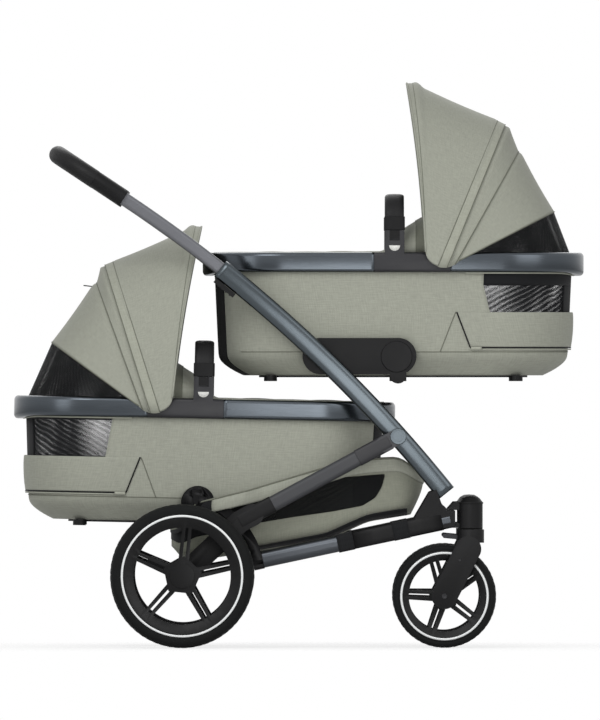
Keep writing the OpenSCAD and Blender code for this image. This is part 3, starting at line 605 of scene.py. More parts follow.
def outward(bm: BMesh, inside: Vector) -> None:
    """Turns an open sheet's faces away from a point.

    Args:
        bm: the mesh.
        inside: a point in metres on the sheet's inner side.
    """
    bm.normal_update()
    total = sum((f.calc_center_median() - inside).dot(f.normal) * f.calc_area() for f in bm.faces)
    if total < 0:
        bmesh.ops.reverse_faces(bm, faces=bm.faces[:])


def thicken(piece: Piece, thickness: float) -> None:
    """Gives a sheet its thickness, inward from its outer face.

    Args:
        piece: the sheet.
        thickness: in millimetres.
    """
    wall = piece.modifiers.new("thickness", "SOLIDIFY")
    wall.thickness = thickness * MM
    wall.offset = -1.0


def smooth(piece: Piece) -> None:
    """Rounds a piece by one level of subdivision."""
    rounder = piece.modifiers.new("rounding", "SUBSURF")
    rounder.levels = 1
    rounder.render_levels = 1


def round_edges(piece: Piece, width: float) -> None:
    """Rounds a piece's hard edges and keeps its flat faces flat.

    Args:
        piece: the piece.
        width: the edges' width in millimetres.
    """
    bevel = piece.modifiers.new("edges", "BEVEL")
    bevel.width = width * MM
    bevel.segments = 3
    bevel.limit_method = "ANGLE"
    bevel.angle_limit = math.radians(35)
    bevel.harden_normals = True


def dress(nodes: dict[str, Piece], names: Sequence[str], finish: Finish) -> None:
    """Gives CAD nodes their finish.

    Args:
        nodes: the frame's nodes.
        names: the nodes to dress.
        finish: their surface.
    """
    for name in names:
        mesh = nodes[name].data
        mesh.materials.clear()
        mesh.materials.append(finish.material())


def softened(node: Piece, name: str, finish: Finish, body: str, edge: float = 1.6) -> None:
    """Makes a piece from a CAD node with its hard edges rounded.

    Args:
        node: the CAD node, which the piece replaces.
        name: the piece's name.
        finish: its surface.
        body: the body that it moves with.
        edge: the edges' width in millimetres.
    """
    bm = bmesh.new()
    bm.from_mesh(node.data)
    bmesh.ops.remove_doubles(bm, verts=bm.verts[:], dist=0.005 * MM)
    bmesh.ops.dissolve_limit(bm, angle_limit=math.radians(0.6), verts=bm.verts[:], edges=bm.edges[:])
    round_edges(add_piece(name, bm, finish, body, [node.name]), edge)


@dataclass
class Wheel:
    """A wheel's foam tyre, with tread blocks, and the pale stripe on its rim."""

    name: str
    body: str
    centre: Vector
    radius: float
    width: float
    height: float
    outer: int
    tyre_node: str
    blocks: int
    stripe_rise: float
    stripe_half: float = 2.2
    stripe_at: float = 0.91
    stripe_depth: float = 2.7
    tread_from: float = 0.9
    tread_depth: float = 1.6
    shares: Sequence[Point] = ((0, 0.8), (0.1, 0.9), (0.22, 0.955), (0.34, 0.985), (0.46, 1), (0.58, 0.985),
                               (0.7, 0.94), (0.8, 0.85), (0.88, 0.7), (0.94, 0.5), (0.975, 0.3), (1, 0.1))

    def profile(self) -> list[Point]:
        """The tyre's closed section, as radius and distance from its middle.

        Returns:
            The points, once round.
        """
        inner = self.radius - self.height
        near = [(inner + self.height * a, self.width / 2 * b) for a, b in self.shares]
        return near + [(r, -y) for r, y in reversed(near)]

    def spun(self, section: Sequence[Point], count: int) -> BMesh:
        """Spins a closed section about the axle.

        Args:
            section: pairs of radius and distance from the wheel's middle, in millimetres.
            count: how many steps the turn has.

        Returns:
            The ring.
        """
        bm = bmesh.new()
        verts = [bm.verts.new((self.centre + Vector((r, y, 0))) * MM) for r, y in section]
        edges = [bm.edges.new((a, b)) for a, b in zip(verts, verts[1:] + verts[:1])]
        bmesh.ops.spin(bm, geom=verts + edges, cent=self.centre * MM, axis=(0, 1, 0),
                       angle=2 * math.pi, steps=count, use_merge=True)
        bmesh.ops.remove_doubles(bm, verts=bm.verts[:], dist=MERGE * MM)
        bmesh.ops.recalc_face_normals(bm, faces=bm.faces[:])
        return bm

    def tyre(self) -> None:
        """Builds the tyre, with tread blocks cut into its running face."""
        bm = self.spun(self.profile(), self.blocks * 3)
        for vert in bm.verts:
            arm = vert.co / MM - self.centre
            reach = math.hypot(arm.x, arm.z)
            turn = math.atan2(arm.z, arm.x) / (2 * math.pi) * self.blocks + (0.5 if arm.y > 0 else 0)
            high = (reach - self.radius + self.height) / self.height
            if high > self.tread_from and round(turn * 3) % 3 == 0:
                vert.co -= Vector((arm.x, 0, arm.z)).normalized() * self.tread_depth * MM
        smooth(add_piece(f"{self.name}_tyre", bm, TYRE, self.body, [self.tyre_node]))

    def stripe(self) -> None:
        """Builds the pale stripe on the rim's flange."""
        r, half = self.radius - self.height + self.stripe_rise, self.stripe_half
        low, high = (self.outer * (self.width / 2 * self.stripe_at + d) for d in (0.0, self.stripe_depth))
        bm = self.spun([(r - half, low), (r + half, low), (r + half, high), (r - half, high)], 128)
        add_piece(f"{self.name}_stripe", bm, STRIPE, self.body)


class CotPlace(Enum):
    """Where a carrycot sits on the chassis."""

    UPPER = "upper"
    LOWER = "lower"


@dataclass
class Carrycot:
    """A carrycot: rim, cloth tub with windows and a pocket, apron, hood and carry handle."""

    place: CotPlace
    offset: float = 196.5
    upper_z: float = 823.0
    lower_z: float = 518.0
    lower_tilt: float = 1.1
    rim_l: float = 397.5
    rim_w: float = 205.0
    rim_r: float = 170.0
    rim_h: float = 41.0
    rim_t: float = 22.0
    rim_from: float = -40.0
    rim_to: float = 118.0
    rim_corner: float = 8.0
    rim_weave: Point = (900.0, 120.0)
    drop_from: float = 0.86
    drop: float = 0.27
    tub_l: float = 372.0
    tub_w: float = 190.0
    tub_r: float = 155.0
    depth: float = 256.0
    knuckle_z: float = -214.0
    round_power: float = 1.8
    tuck: float = 34.0
    taper_in: Point = (8.0, 9.0)
    round_in: Point = (52.0, 22.0)
    knuckle_ease: float = 12.0
    tub_weave: float = 991.0
    foot_x: float = -354.0
    seam_to: float = 0.84
    piping_x: float = 150.0
    window_z: Point = (-68.0, -126.0)
    window_x: Point = (188.5, 205.0)
    lower_window: tuple[Point, Point] = ((-48.0, -126.0), (191.5, 208.5))
    window_end: float = 357.0
    flap_z: Point = (-124.0, -197.0)
    flap_x: Point = (134.0, 165.0)
    pivot: Point = (107.0, -22.0)
    hood_r: float = 384.0
    hood_w: float = 212.0
    hood_power: float = 2.8
    lobe_at: Point = (105.0, 0.0)
    lobe_r: Point = (38.0, 32.0)
    front_turn: Point = (178.0, 285.0)
    strip_turn: Point = (250.0, 280.0)
    mid_turn: Point = (272.0, 308.0)
    rear_turn: Point = (306.0, 328.0)
    net_turn: float = 327.0
    net_x: Point = (140.0, 371.0)
    net_z: float = -7.0
    turns: Sequence[float] = (0.0, 0.0, 0.0, 0.0)
    reach: Sequence[float] = (1.0, 1.0, 1.0, 1.0)
    lower_turns: Sequence[float] = (1.9, 3.9, 8.2, 6.9)
    lower_reach: Sequence[float] = (1.022, 1.0, 1.028, 1.0)
    front_marks: Sequence[Mark] = ((0.0, 101.8, 1.0, 0), (0.06, 100.0, 0.995, 0), (0.09, 99.3, 1.0, 0),
                                   (0.13, 98.2, 0.991, 0), (0.18, 96.8, 0.96, 0), (0.96, 70.6, 0.833, 1),
                                   (1.0, 67.8, 0.8225, 1))
    strip_marks: Sequence[Mark] = ((0.0, 69.6, 0.826, 1), (1.0, 66.3, 0.822, 1))
    mid_marks: Sequence[Mark] = ((0.0, 69.0, 0.819, 1), (0.17, 66.6, 0.8235, 1), (0.33, 64.4, 0.826, 1),
                                 (1.0, 56.4, 0.733, 2))
    rear_marks: Sequence[Mark] = ((0.0, 57.5, 0.735, 2), (0.08, 55.1, 0.738, 2), (0.14, 53.7, 0.732, 2),
                                  (1.0, 25.1, 0.668, 3))
    front_bow: float = 6.0
    fold_reach: float = 0.55
    apron_line: Sequence[Point] = ((-375.0, 0.0), (-20.0, 2.0), (18.0, 48.0), (64.0, 76.0))
    carry_x: float = 2.5
    carry_top: float = 122.0
    marks: Sequence[float] = (0.0353, 0.2810, 0.7190, 0.9647)
    pad: Point3 = (592.0, 288.0, 30.0)
    pad_corner: float = 105.0
    pad_z: float = -229.0
    pad_voxel: float = 7.0
    pad_cap: float = 6.0

    def __post_init__(self) -> None:
        """Gives the lower cot its taller window and its wider open hood."""
        if self.place is CotPlace.LOWER:
            self.window_z, self.window_x = self.lower_window
            self.turns, self.reach = self.lower_turns, self.lower_reach

    @property
    def name(self) -> str:
        """The cot's name in node names."""
        return self.place.value

    @property
    def body(self) -> str:
        """The cot's body."""
        return f"{self.name}_cot"

    @property
    def wall_top(self) -> float:
        """The upper edge of the tub's cloth, inside the rim."""
        return 4 - self.rim_h

    def within(self, body: str) -> str:
        """The full name of a body within the cot, or of the cot itself where none is given."""
        return f"{self.name}_{body}" if body else self.body

    def matrix(self) -> Matrix:
        """The cot's place in the pram.

        Returns:
            The matrix, in metres.
        """
        if self.place is CotPlace.UPPER:
            return Matrix.Translation(Vector((self.offset, 0, self.upper_z)) * MM)
        turned = Matrix.Rotation(math.radians(self.lower_tilt), 4, "Y") @ Matrix.Diagonal((-1, 1, 1, 1))
        return Matrix.Translation(Vector((-self.offset, 0, self.lower_z)) * MM) @ turned

    def add(self, part: str, bm: BMesh, finish: Finish, slot: str, body: str = "",
            replaces: Sequence[str] = (), fold: Fold | None = None) -> Piece:
        """Carries a mesh from the cot's own frame to its place.

        Args:
            part: the piece's name within the cot.
            bm: its mesh in the cot's frame, in metres, with faces turned outward.
            finish: its surface.
            slot: a material slot's name; not used.
            body: the body within the cot, where it isn't the cot itself.
            replaces: the nodes within the cot that it stands for.
            fold: where given, the piece rides on no body and stays where it is built.

        Returns:
            The piece.
        """
        matrix = self.matrix()
        bmesh.ops.transform(bm, matrix=matrix, verts=bm.verts[:])
        if matrix.determinant() < 0:
            bmesh.ops.reverse_faces(bm, faces=bm.faces[:])
        return add_piece(f"{self.name}_{part}", bm, finish, self.within(body),
                         [f"{self.name}_{node}" for node in replaces], fold)

    # Outline of the cot seen from above

    def outline(self, t: float, l: float, w: float, r: float) -> tuple[Vector, Vector]:
        """A point on a rounded rectangle and its outward direction.

        Args:
            t: 0 at the middle of the head end, 1 and -1 at the foot, with its sign the side.
            l: half length.
            w: half width.
            r: corner radius.

        Returns:
            The point and the direction, with no height.
        """
        m1, m2, m3, m4 = self.marks
        side, q = (-1.0 if t < 0 else 1.0), abs(t)
        if q < m1:
            at, out = (l, (w - r) * q / m1), (1.0, 0.0)
        elif q < m2:
            a = (q - m1) / (m2 - m1) * math.pi / 2
            at, out = (l - r + r * math.cos(a), w - r + r * math.sin(a)), (math.cos(a), math.sin(a))
        elif q < m3:
            at, out = ((l - r) * (1 - 2 * (q - m2) / (m3 - m2)), w), (0.0, 1.0)
        elif q < m4:
            a = math.pi / 2 * (1 + (q - m3) / (m4 - m3))
            at, out = (r - l + r * math.cos(a), w - r + r * math.sin(a)), (math.cos(a), math.sin(a))
        else:
            at, out = (-l, (w - r) * (1 - q) / (1 - m4)), (-1.0, 0.0)
        return Vector((at[0], side * at[1], 0)), Vector((out[0], side * out[1], 0))

    def share_at(self, x: float, l: float, r: float) -> float:
        """The outline's share at a distance along the cot.

        Args:
            x: the distance from the cot's middle.
            l: half length.
            r: corner radius.

        Returns:
            The share from 0 at the head to 1 at the foot.
        """
        m1, m2, m3, m4 = self.marks
        if x > l - r:
            return m1 + (m2 - m1) * math.acos(min(1, (x - l + r) / r)) / (math.pi / 2)
        if x < r - l:
            return m3 + (m4 - m3) * math.asin(min(1, (r - l - x) / r)) / (math.pi / 2)
        return m2 + (m3 - m2) * (l - r - x) / (2 * (l - r))

    def tub_share(self, x: float) -> float:
        """The tub's outline share at a distance along the cot."""
        return self.share_at(x, self.tub_l, self.tub_r)

    def rim_drop(self, x: float) -> float:
        """How much deeper the rim is near the cot's ends, as a share."""
        start = self.rim_l * self.drop_from
        return self.drop * max(0.0, (abs(x) - start) / (self.rim_l - start)) ** 2

    def wall(self, t: float, z: float, out: float = 0.0) -> Vector:
        """A point of the tub's outer cloth.

        Args:
            t: the outline's share.
            z: the height below the rim's top.
            out: how far outside the cloth.

        Returns:
            The point in the cot's frame.
        """
        taper = min(1.0, max(0.0, (-self.rim_h - z) / (-self.rim_h - self.knuckle_z)))
        under, ease = self.knuckle_z - z, self.knuckle_ease
        under = 0.0 if under < -ease else ((under + ease) ** 2 / (4 * ease) if under < ease else under)
        low = under / (self.depth + self.knuckle_z)
        share = low ** self.round_power
        at, normal = self.outline(t, self.tub_l - self.taper_in[0] * taper - self.round_in[0] * share,
                                  self.tub_w - self.taper_in[1] * taper - self.tuck * low,
                                  self.tub_r - self.round_in[1] * share)
        return at + normal * out + Vector((0, 0, z))

    def wall_sheet(self, limits: Callable[[float], Point], z0: float, z1: float, counts: tuple[int, int],
                   out: float = 0.0, puff: Callable[[float, float], float] | None = None) -> BMesh:
        """Lays a sheet on the tub's wall.

        Args:
            limits: gives the outline shares that the sheet spans at a height.
            z0: its upper height.
            z1: its lower height.
            counts: quads along and down.
            out: how far it lies outside the cloth.
            puff: gives the same for shares along and down, where it varies.

        Returns:
            The sheet, turned outward.
        """

        def place(u: float, v: float) -> Vector:
            """The point at a share along and a share down."""
            z = between(z0, z1, v)
            t = between(*limits(z), u)
            return self.wall(t if t <= 1 else t - 2, z, puff(u, v) if puff else out)

        low, high = limits((z0 + z1) / 2)
        bm = patch(*counts, place, (abs(high - low) * self.tub_weave, abs(z1 - z0)))
        outward(bm, Vector((0, 0, (z0 + z1) / 2 * MM)))
        return bm

    def window_edge(self, z: float) -> float:
        """The outline share of the window's slanted edge at a height."""
        z0, z1 = self.window_z
        return self.tub_share(between(*self.window_x, min(1.0, max(0.0, (z - z0) / (z1 - z0)))))

    def flap_edge(self, z: float) -> float:
        """The outline share of the pocket flap's slanted edge at a height."""
        z0, z1 = self.flap_z
        return self.tub_share(between(*self.flap_x, (z - z0) / (z1 - z0)))

    # The tub and what is sewn to it

    def tub(self) -> None:
        """Builds the cloth tub: a wall with window openings and a floor."""
        low = self.window_z[1]
        edge = self.window_edge(low)
        upper = self.wall_sheet(lambda z: (self.window_edge(z), 2 - self.window_edge(z)), self.wall_top, low,
                                (180, 10))
        lower = self.wall_sheet(lambda z: (edge, 2 - edge), low, -self.depth, (180, 26))
        head = self.wall_sheet(lambda z: (-edge, edge), low, -self.depth, (70, 26))
        bm = joined([upper, lower, head])
        floor = [e for e in bm.edges
                 if e.is_boundary and all(v.co.z < (1 - self.depth) * MM for v in e.verts)]
        bmesh.ops.holes_fill(bm, edges=floor, sides=0)
        outward(bm, Vector((0, 0, -self.depth / 2 * MM)))
        thicken(self.add("tub_cloth", bm, SAGE, "sage_fabric", replaces=["tub"]), 2.4)

    def windows(self) -> None:
        """Builds the net windows and the black cloth round them."""
        z0, z1 = self.window_z
        end, foot = self.tub_share(self.window_end), self.tub_share(self.foot_x)
        for side, name in SIDES:
            def span(z: float, side: int = side) -> Point:
                """The shares of the slanted edge and the cot's end."""
                a, b = end * 0.96, self.window_edge(z) * 1.01
                return (b, a) if side > 0 else (-b, -a)

            net = self.wall_sheet(span, z0 + 6, z1 - 6, (40, 14), -1.4)
            thicken(self.add(f"window_{name}", net, NET, "sage_fabric"), 0.8)
        band = self.wall_sheet(lambda z: (-self.window_edge(z), self.window_edge(z)), self.wall_top, z0,
                               (80, 5), 0.3)
        back = self.wall_sheet(lambda z: (-end, end), z0, z1 - 6, (40, 10), 0.3)
        thicken(self.add("head_band", joined([band, back]), BLACK_CLOTH, "sage_fabric"), 1.6)
        panel = self.wall_sheet(lambda z: (foot, 2 - foot), self.wall_top, 1 - self.depth, (44, 30), 0.7)
        thicken(self.add("foot_panel", panel, BLACK_CLOTH, "sage_fabric"), 1.4)

    def pocket(self) -> None:
        """Builds the pocket flap round the head end, with its zip and seams."""
        z0, z1 = self.flap_z

        def full(u: float) -> float:
            """How much further the flap stands off at the middle of the cot's end."""
            return 4.2 * math.exp(-((u - 0.5) / 0.22) ** 2)

        def puff(u: float, v: float) -> float:
            """How far the flap stands off the tub: fullest at the cot's end."""
            edge = min(1.0, 9 * min(u, 1 - u))
            return (2.0 + 2.2 * math.sin(math.pi * min(1, v * 1.1)) ** 0.6) * edge + 0.8 + full(u)

        flap = self.wall_sheet(lambda z: (-self.flap_edge(z), self.flap_edge(z)), z0, z1, (110, 14),
                               puff=puff)
        piece = self.add("pocket_flap", flap, SAGE, "sage_fabric")
        thicken(piece, 2.2)
        smooth(piece)
        end = self.flap_edge(z1)
        for name, z, out, r, finish in (("zip", z1 - 1.2, 1.8, 1.3, BLACK_CLOTH),
                                        ("zip_edge", z1 - 4.6, 1.6, 1.5, SAGE_PIPING)):
            points = [self.wall(between(-end, end, k / 90), z, out + full(k / 90)) for k in range(91)]
            self.cord(f"pocket_{name}", points, r, finish)
        for side, name in SIDES:
            pull = [self.wall(side * self.tub_share(x), z1 - 2.5, 4.6) for x in (167, 172, 178, 184, 190)]
            bm = sweep(pull, Vector((0, 0, 1)), rounded_section(1.4, 3.2, 3.0, 12), 8)
            self.add(f"zip_pull_{name}", bm, SAGE_PIPING, "sage_fabric")
            shares = [k / 12 for k in range(13)]
            fold = [self.wall(side * self.tub_share(132 - 31 * k), z0 - 83 * k, 0.4) for k in shares]
            self.cord(f"pocket_fold_{name}", fold, 1.0, SAGE_SEAM_SHADE)
            levels = [between(z0, z1, k) for k in shares]
            edge = [self.wall(side * self.flap_edge(z), z, 1.2) for z in levels]
            self.cord(f"pocket_edge_{name}", edge, 1.5, BLACK_CLOTH)

    def cord(self, part: str, points: Sequence[Vector], r: float, finish: Finish,
             fold: Fold | None = None) -> None:
        """Lays a thin sewn cord along points of the cot.

        Args:
            part: the piece's name within the cot.
            points: the path in millimetres.
            r: the cord's radius.
            finish: its surface.
            fold: where given, the cord rides on no body and stays where it is built.
        """
        bm = sweep(points, SKEW, round_section(r), len(points) * 2)
        self.add(part, bm, finish, "sage_fabric", fold=fold)

    def seams(self) -> None:
        """Builds the seam round the tub and the piping under the rim."""
        ring = [self.wall(between(-self.seam_to, self.seam_to, k / 160), self.knuckle_z + 7, 0.2)
                for k in range(161)]
        self.cord("tub_seam", ring, 0.9, SAGE_SEAM_SHADE)
        t = self.tub_share(self.piping_x)
        piping = []
        for k in range(121):
            at = self.wall(between(-t, t, k / 120), -self.rim_h, 5.0)
            at.z = -self.rim_h * (1 + self.rim_drop(at.x)) - 1.6
            piping.append(at)
        self.cord("rim_piping", piping, 1.9, SAGE_PIPING)

    # Rim, apron and carry handle

    def rim(self) -> None:
        """Builds the rim's two metal bows."""
        half, r = self.rim_t / 2, self.rim_corner
        corner = [(math.pi / 2 * k / 6) for k in range(7)]
        section = [(half - r + r * math.sin(a), -r + r * math.cos(a)) for a in corner]
        section += [(half - r + r * math.cos(a), r - self.rim_h - r * math.sin(a)) for a in corner]
        section += [(-half + 1.5, -self.rim_h), (-half, 1.5 - self.rim_h), (-half, -1.5), (-half + 1.5, 0.0)]
        l, w, rr = self.rim_l - half, self.rim_w - half, self.rim_r - half
        head, foot = self.share_at(self.rim_to, l, rr), self.share_at(self.rim_from, l, rr)

        def bow(low: float, high: float) -> BMesh:
            """One bow between two outline shares."""

            def place(u: float, v: float) -> Vector:
                """The point of the section at a share of the bow."""
                t = between(low, high, u)
                at, normal = self.outline(t if t <= 1 else t - 2, l, w, rr)
                a, z = section[round(v * len(section)) % len(section)]
                return at + normal * a + Vector((0, 0, z * (1 + self.rim_drop(at.x))))

            return closed(patch(140, len(section), place, self.rim_weave))

        self.add("rim_metal", joined([bow(-head, head), bow(foot, 2 - foot)]), RIM_METAL, "anodised_tube",
                 replaces=["rim_bows"])

    def apron(self) -> None:
        """Builds the apron over the foot, which rises into a wind flap, with its hem."""
        l, w, r = self.rim_l - self.rim_t, self.rim_w - self.rim_t, self.rim_r - self.rim_t
        to = self.apron_line[-1][0]

        def place(u: float, v: float) -> Vector:
            """The point at a share from the foot and a share across."""
            x = 2 - l + (to + l - 2) * u
            inset = max(0.0, r - l - x)
            half = w - r + math.sqrt(max(0.0, r * r - inset * inset)) - 0.6
            t = 2 * v - 1
            sag = 1.4 * math.sin(x * 0.043) * math.cos(t * 5) * (1 - abs(t)) * min(1.0, max(0.0, -x / 60))
            rise = (steps(x, self.apron_line, 9.0) + sag) * math.sqrt(max(0.0, 1 - t ** 4))
            return Vector((x, half * t, 0.8 + rise))

        def band(u: float, v: float) -> Vector:
            """The doubled hem on the wind flap's edge."""
            return place(0.962 + 0.038 * u, v) + Vector((-0.5, 0, 0.7))

        inside = (-100, 0, -300)
        self.sheet("apron_cloth", place, (90, 64), (460.0, 400.0), SAGE, 2.0, ["apron"], inside=inside)
        bm = patch(6, 64, band, (18.0, 400.0))
        outward(bm, Vector(inside) * MM)
        thicken(self.add("apron_band", bm, SAGE_SEAM_SHADE, "sage_fabric"), 1.2)
        for name, u, thick in (("hem", 1.0, 1.6), ("stitch", 0.0, 0.7)):
            self.cord(f"apron_{name}", line(band, u, 60), thick, SAGE_SEAM_SHADE)

    def carry_handle(self) -> None:
        """Builds the leather carry handle, its collars and the plain labels."""
        mid, bend, top = self.rim_w - self.rim_t / 2, 52.0, self.carry_top - 7.5
        low = 46.4
        points = [Vector((self.carry_x, -mid, between(low, top - bend, k / 4))) for k in range(5)]
        points += [Vector((self.carry_x, -mid + bend - bend * math.cos(a), top - bend + bend * math.sin(a)))
                   for a in (math.pi / 2 * k / 12 for k in range(1, 13))]
        points += [Vector((self.carry_x, (bend - mid) * (1 - k / 8), top)) for k in range(1, 9)]
        points += [Vector((p.x, -p.y, p.z)) for p in reversed(points[:-1])]
        bm = sweep(points, Vector((1, 0, 0)), rounded_section(7.4, 19.6, 3.6, 40), 160)
        self.add("carry_leather", bm, LEATHER, "leather", "carry_handle", ["carry_handle"])
        for side, name in SIDES:
            post = [Vector((self.carry_x, side * mid, z)) for z in (46.3, 56, 66, 75)]
            bm = sweep(post, Vector((1, 0, 0)), rounded_section(9.6, 21.4, 6.0, 40), 6)
            collar = self.add(f"carry_collar_{name}", bm, ABS, "black_plastic", "carry_handle")
            round_edges(collar, 1.4)
            bm = bmesh.new()
            bmesh.ops.create_circle(bm, cap_ends=True, segments=48, radius=11.4 * MM)
            bmesh.ops.bisect_plane(bm, geom=bm.verts[:] + bm.edges[:] + bm.faces[:], plane_co=(0, 0, 0),
                                   plane_no=(0, 1, 0), clear_outer=True)
            stand = Matrix.Translation(Vector((self.carry_x, side * (self.rim_w + 0.5), 14.6)) * MM)
            bmesh.ops.transform(bm, matrix=stand @ Matrix.Rotation(math.pi / 2, 4, "X"), verts=bm.verts[:])
            outward(bm, Vector((self.carry_x * MM, 0, 0)))
            thicken(self.add(f"label_{name}", bm, LABEL, "black_plastic"), 0.8)

    # Hood

    def crown(self, angle: float, share: float) -> Vector:
        """A point of the hood's crown line, by angle about the pivot and share of its reach."""
        a = math.radians(angle)
        return Vector((self.pivot[0] + self.hood_r * share * math.cos(a), 0,
                       self.pivot[1] + self.hood_r * share * math.sin(a)))

    def crown_line(self, marks: Sequence[Mark], q: float) -> Vector:
        """A point of a panel's crown line.

        Args:
            marks: stops with a share along the panel, an angle, a share of the reach and the number of the
                bow that the stop goes with.
            q: the share along the panel.

        Returns:
            The point in the cot's frame.
        """
        points = [self.crown(angle + self.turns[bow], share * self.reach[bow])
                  for _, angle, share, bow in marks]
        stops = [mark[0] for mark in marks]
        for q0, q1, at, to in zip(stops, stops[1:], points, points[1:]):
            if q <= q1:
                return at.lerp(to, max(0.0, (q - q0) / (q1 - q0)))
        return points[-1]

    def lobe(self, turn: float) -> Vector:
        """A point of the round lobe where the hood's panels meet the rim, by its angle in degrees."""
        a = math.radians(turn)
        return Vector((self.lobe_at[0] + self.lobe_r[0] * math.cos(a), 0,
                       self.lobe_at[1] + self.lobe_r[1] * math.sin(a)))

    def arch(self, base: Vector, crown: Vector, w: float, a: float, sag: float = 0.0,
             bow: float = 0.0) -> Vector:
        """A point of the hood's arch.

        Args:
            base: the arch's foot in the side view.
            crown: its top in the side view.
            w: half width at the foot.
            a: 0 at the right foot, 1 at the left foot.
            sag: how far the cloth sinks at the crown.
            bow: how far the arch leans to the head at half its height.

        Returns:
            The point in the cot's frame.
        """
        turn = math.pi * a
        high = abs(math.sin(turn)) ** (2 / self.hood_power)
        wide = abs(math.cos(turn)) ** (2 / self.hood_power) * (1 if turn < math.pi / 2 else -1)
        reach = (crown - base).length
        at = base.lerp(crown, high * (1 - sag * math.sin(turn) / reach))
        at.x += 4 * bow * high * (1 - high)
        at.y = -w * wide
        near = math.hypot(at.x - self.pivot[0], at.z - self.pivot[1])
        if w > self.rim_w + 5:
            at.y -= math.copysign(3.6 * math.exp(-((near / 26) ** 4)), wide)
        return at

    def sheet(self, part: str, place: Place, counts: tuple[int, int], flat: Point, finish: Finish,
              thickness: float, replaces: Sequence[str] = (), fold: Fold | None = None,
              inside: Point3 = (150, 0, 40)) -> Piece:
        """Makes a sheet of the hood or the apron.

        Args:
            part: the piece's name within the cot.
            place: gives its points in the cot's frame.
            counts: quads along the cot and across it.
            flat: the cut's width and length in millimetres.
            finish: its surface.
            thickness: in millimetres.
            replaces: the nodes within the cot that it stands for.
            fold: where given, the sheet rides on no body and stays where it is built.
            inside: a point on its inner side, in the cot's frame.

        Returns:
            The piece.
        """
        bm = patch(*counts, place, flat)
        outward(bm, Vector(inside) * MM)
        area = sum(face.calc_area() for face in bm.faces)
        piece = self.add(part, bm, finish, "sage_fabric", replaces=replaces, fold=fold)
        thicken(piece, thickness)
        return piece

    def hood_fold(self, first: str, second: str, back: Mark, front: Mark) -> Fold:
        """The two bodies that a panel of the hood spans, with a point on each of its two bows.

        Args:
            first: the body within the cot of its rear bow, empty for the cot itself.
            second: the body within the cot of its front bow.
            back: the mark of its rear bow.
            front: the mark of its front bow.

        Returns:
            The fold, in the pram's frame.
        """
        start, end = (self.matrix() @ (self.crown(angle + self.turns[bow], self.fold_reach) * MM)
                      for _, angle, _, bow in (back, front))
        return Fold(self.within(first), self.within(second), start, end)

    def hood(self) -> None:
        """Builds the hood's cloth panels, its rear net, seams and piping, and the lower hood's loop."""
        front_fold = self.hood_fold("hood_mid", "hood_front", self.front_marks[-1], self.front_marks[0])
        mid_fold = self.hood_fold("", "hood_mid", self.mid_marks[-1], self.mid_marks[0])

        def front(u: float, v: float) -> Vector:
            """The front panel, from its edge to the second bow."""
            base, top = self.lobe(between(*self.front_turn, u)), self.crown_line(self.front_marks, u)
            sag = 2.0 * math.sin(math.pi * max(0.0, (u - 0.18) / 0.82))
            return self.arch(base, top, self.hood_w, v, sag, self.front_bow * (1 - u) ** 1.5)

        smooth(self.sheet("hood_front_cloth", front, (50, 96), (250.0, 960.0), SAGE, 1.6, ["hood_front"],
                          front_fold))
        # The front edge, and the hem line behind it in the darker seam colour: a painted shade line inside
        # the hem
        for name, u, r, finish in (("edge", 0.0, 2.0, SAGE), ("hem", 0.06, 0.7, SAGE_SEAM_SHADE)):
            self.cord(f"hood_{name}", line(front, u), r, finish, front_fold)

        def strip(u: float, v: float) -> Vector:
            """The doubled strip over the second bow."""
            base, top = self.lobe(between(*self.strip_turn, u)), self.crown_line(self.strip_marks, u)
            return self.arch(base, top + (top - base).normalized() * 1.0, self.hood_w + 1.0, v)

        self.sheet("hood_strip", strip, (8, 96), (22.0, 840.0), SAGE_PIPING, 1.6, fold=front_fold)
        for name, u in (("strip_front", 0.0), ("strip_back", 1.0)):
            self.cord(f"hood_{name}", line(strip, u), 0.8, SAGE_SEAM_SHADE, front_fold)

        def mid(u: float, v: float) -> Vector:
            """The middle panel, between the second and third bow."""
            base, top = self.lobe(between(*self.mid_turn, u)), self.crown_line(self.mid_marks, u)
            return self.arch(base, top, self.hood_w - 2.9, v, 1.4 + 1.6 * math.sin(math.pi * u))

        self.sheet("hood_mid_cloth", mid, (20, 96), (100.0, 800.0), SAGE, 1.4, ["hood_mid"], mid_fold)
        # The mid panel's rear edge in the darker seam colour: a painted shade line where it overlaps the rear
        # panel
        self.cord("hood_mid_edge", line(mid, 1.0), 1.2, SAGE_SEAM_SHADE, mid_fold)

        def rear(u: float, v: float) -> Vector:
            """The rear panel, from under the third bow to its hem."""
            base, top = self.lobe(between(*self.rear_turn, u)), self.crown_line(self.rear_marks, u)
            return self.arch(base, top, self.rim_w + 1.6, v, 3.0 + 2.0 * math.sin(math.pi * u))

        self.sheet("hood_rear_cloth", rear, (30, 96), (200.0, 780.0), SAGE, 1.2, ["hood_rear"])
        self.cord("hood_rear_hem", line(rear, 1.0), 1.3, SAGE_SEAM_SHADE)

        def net(u: float, v: float) -> Vector:
            """The net between the rear panel and the rim."""
            inner, outer = (Vector((x, 0, self.net_z)) for x in self.net_x)
            base, top = self.lobe(self.net_turn), self.crown_line(self.rear_marks, 1.0)
            wide = self.rim_w + 0.6 - 10 * u
            return self.arch(base.lerp(inner, u), top.lerp(outer, u), wide, v, 4.0 * (1 - u))

        self.sheet("hood_net", net, (14, 96), (130.0, 730.0), HOOD_NET, 0.7)
        if self.place is CotPlace.LOWER:
            loop = [Vector((228 + 4.3 * k, 0, 229.0 + 0.4 * k)) for k in range(8)]
            bm = sweep(loop, Vector((0, 1, 0)), rounded_section(1.2, 6.0, 4.0, 12), 8)
            self.add("hood_loop", bm, BLACK_CLOTH, "sage_fabric", "hood_mid")

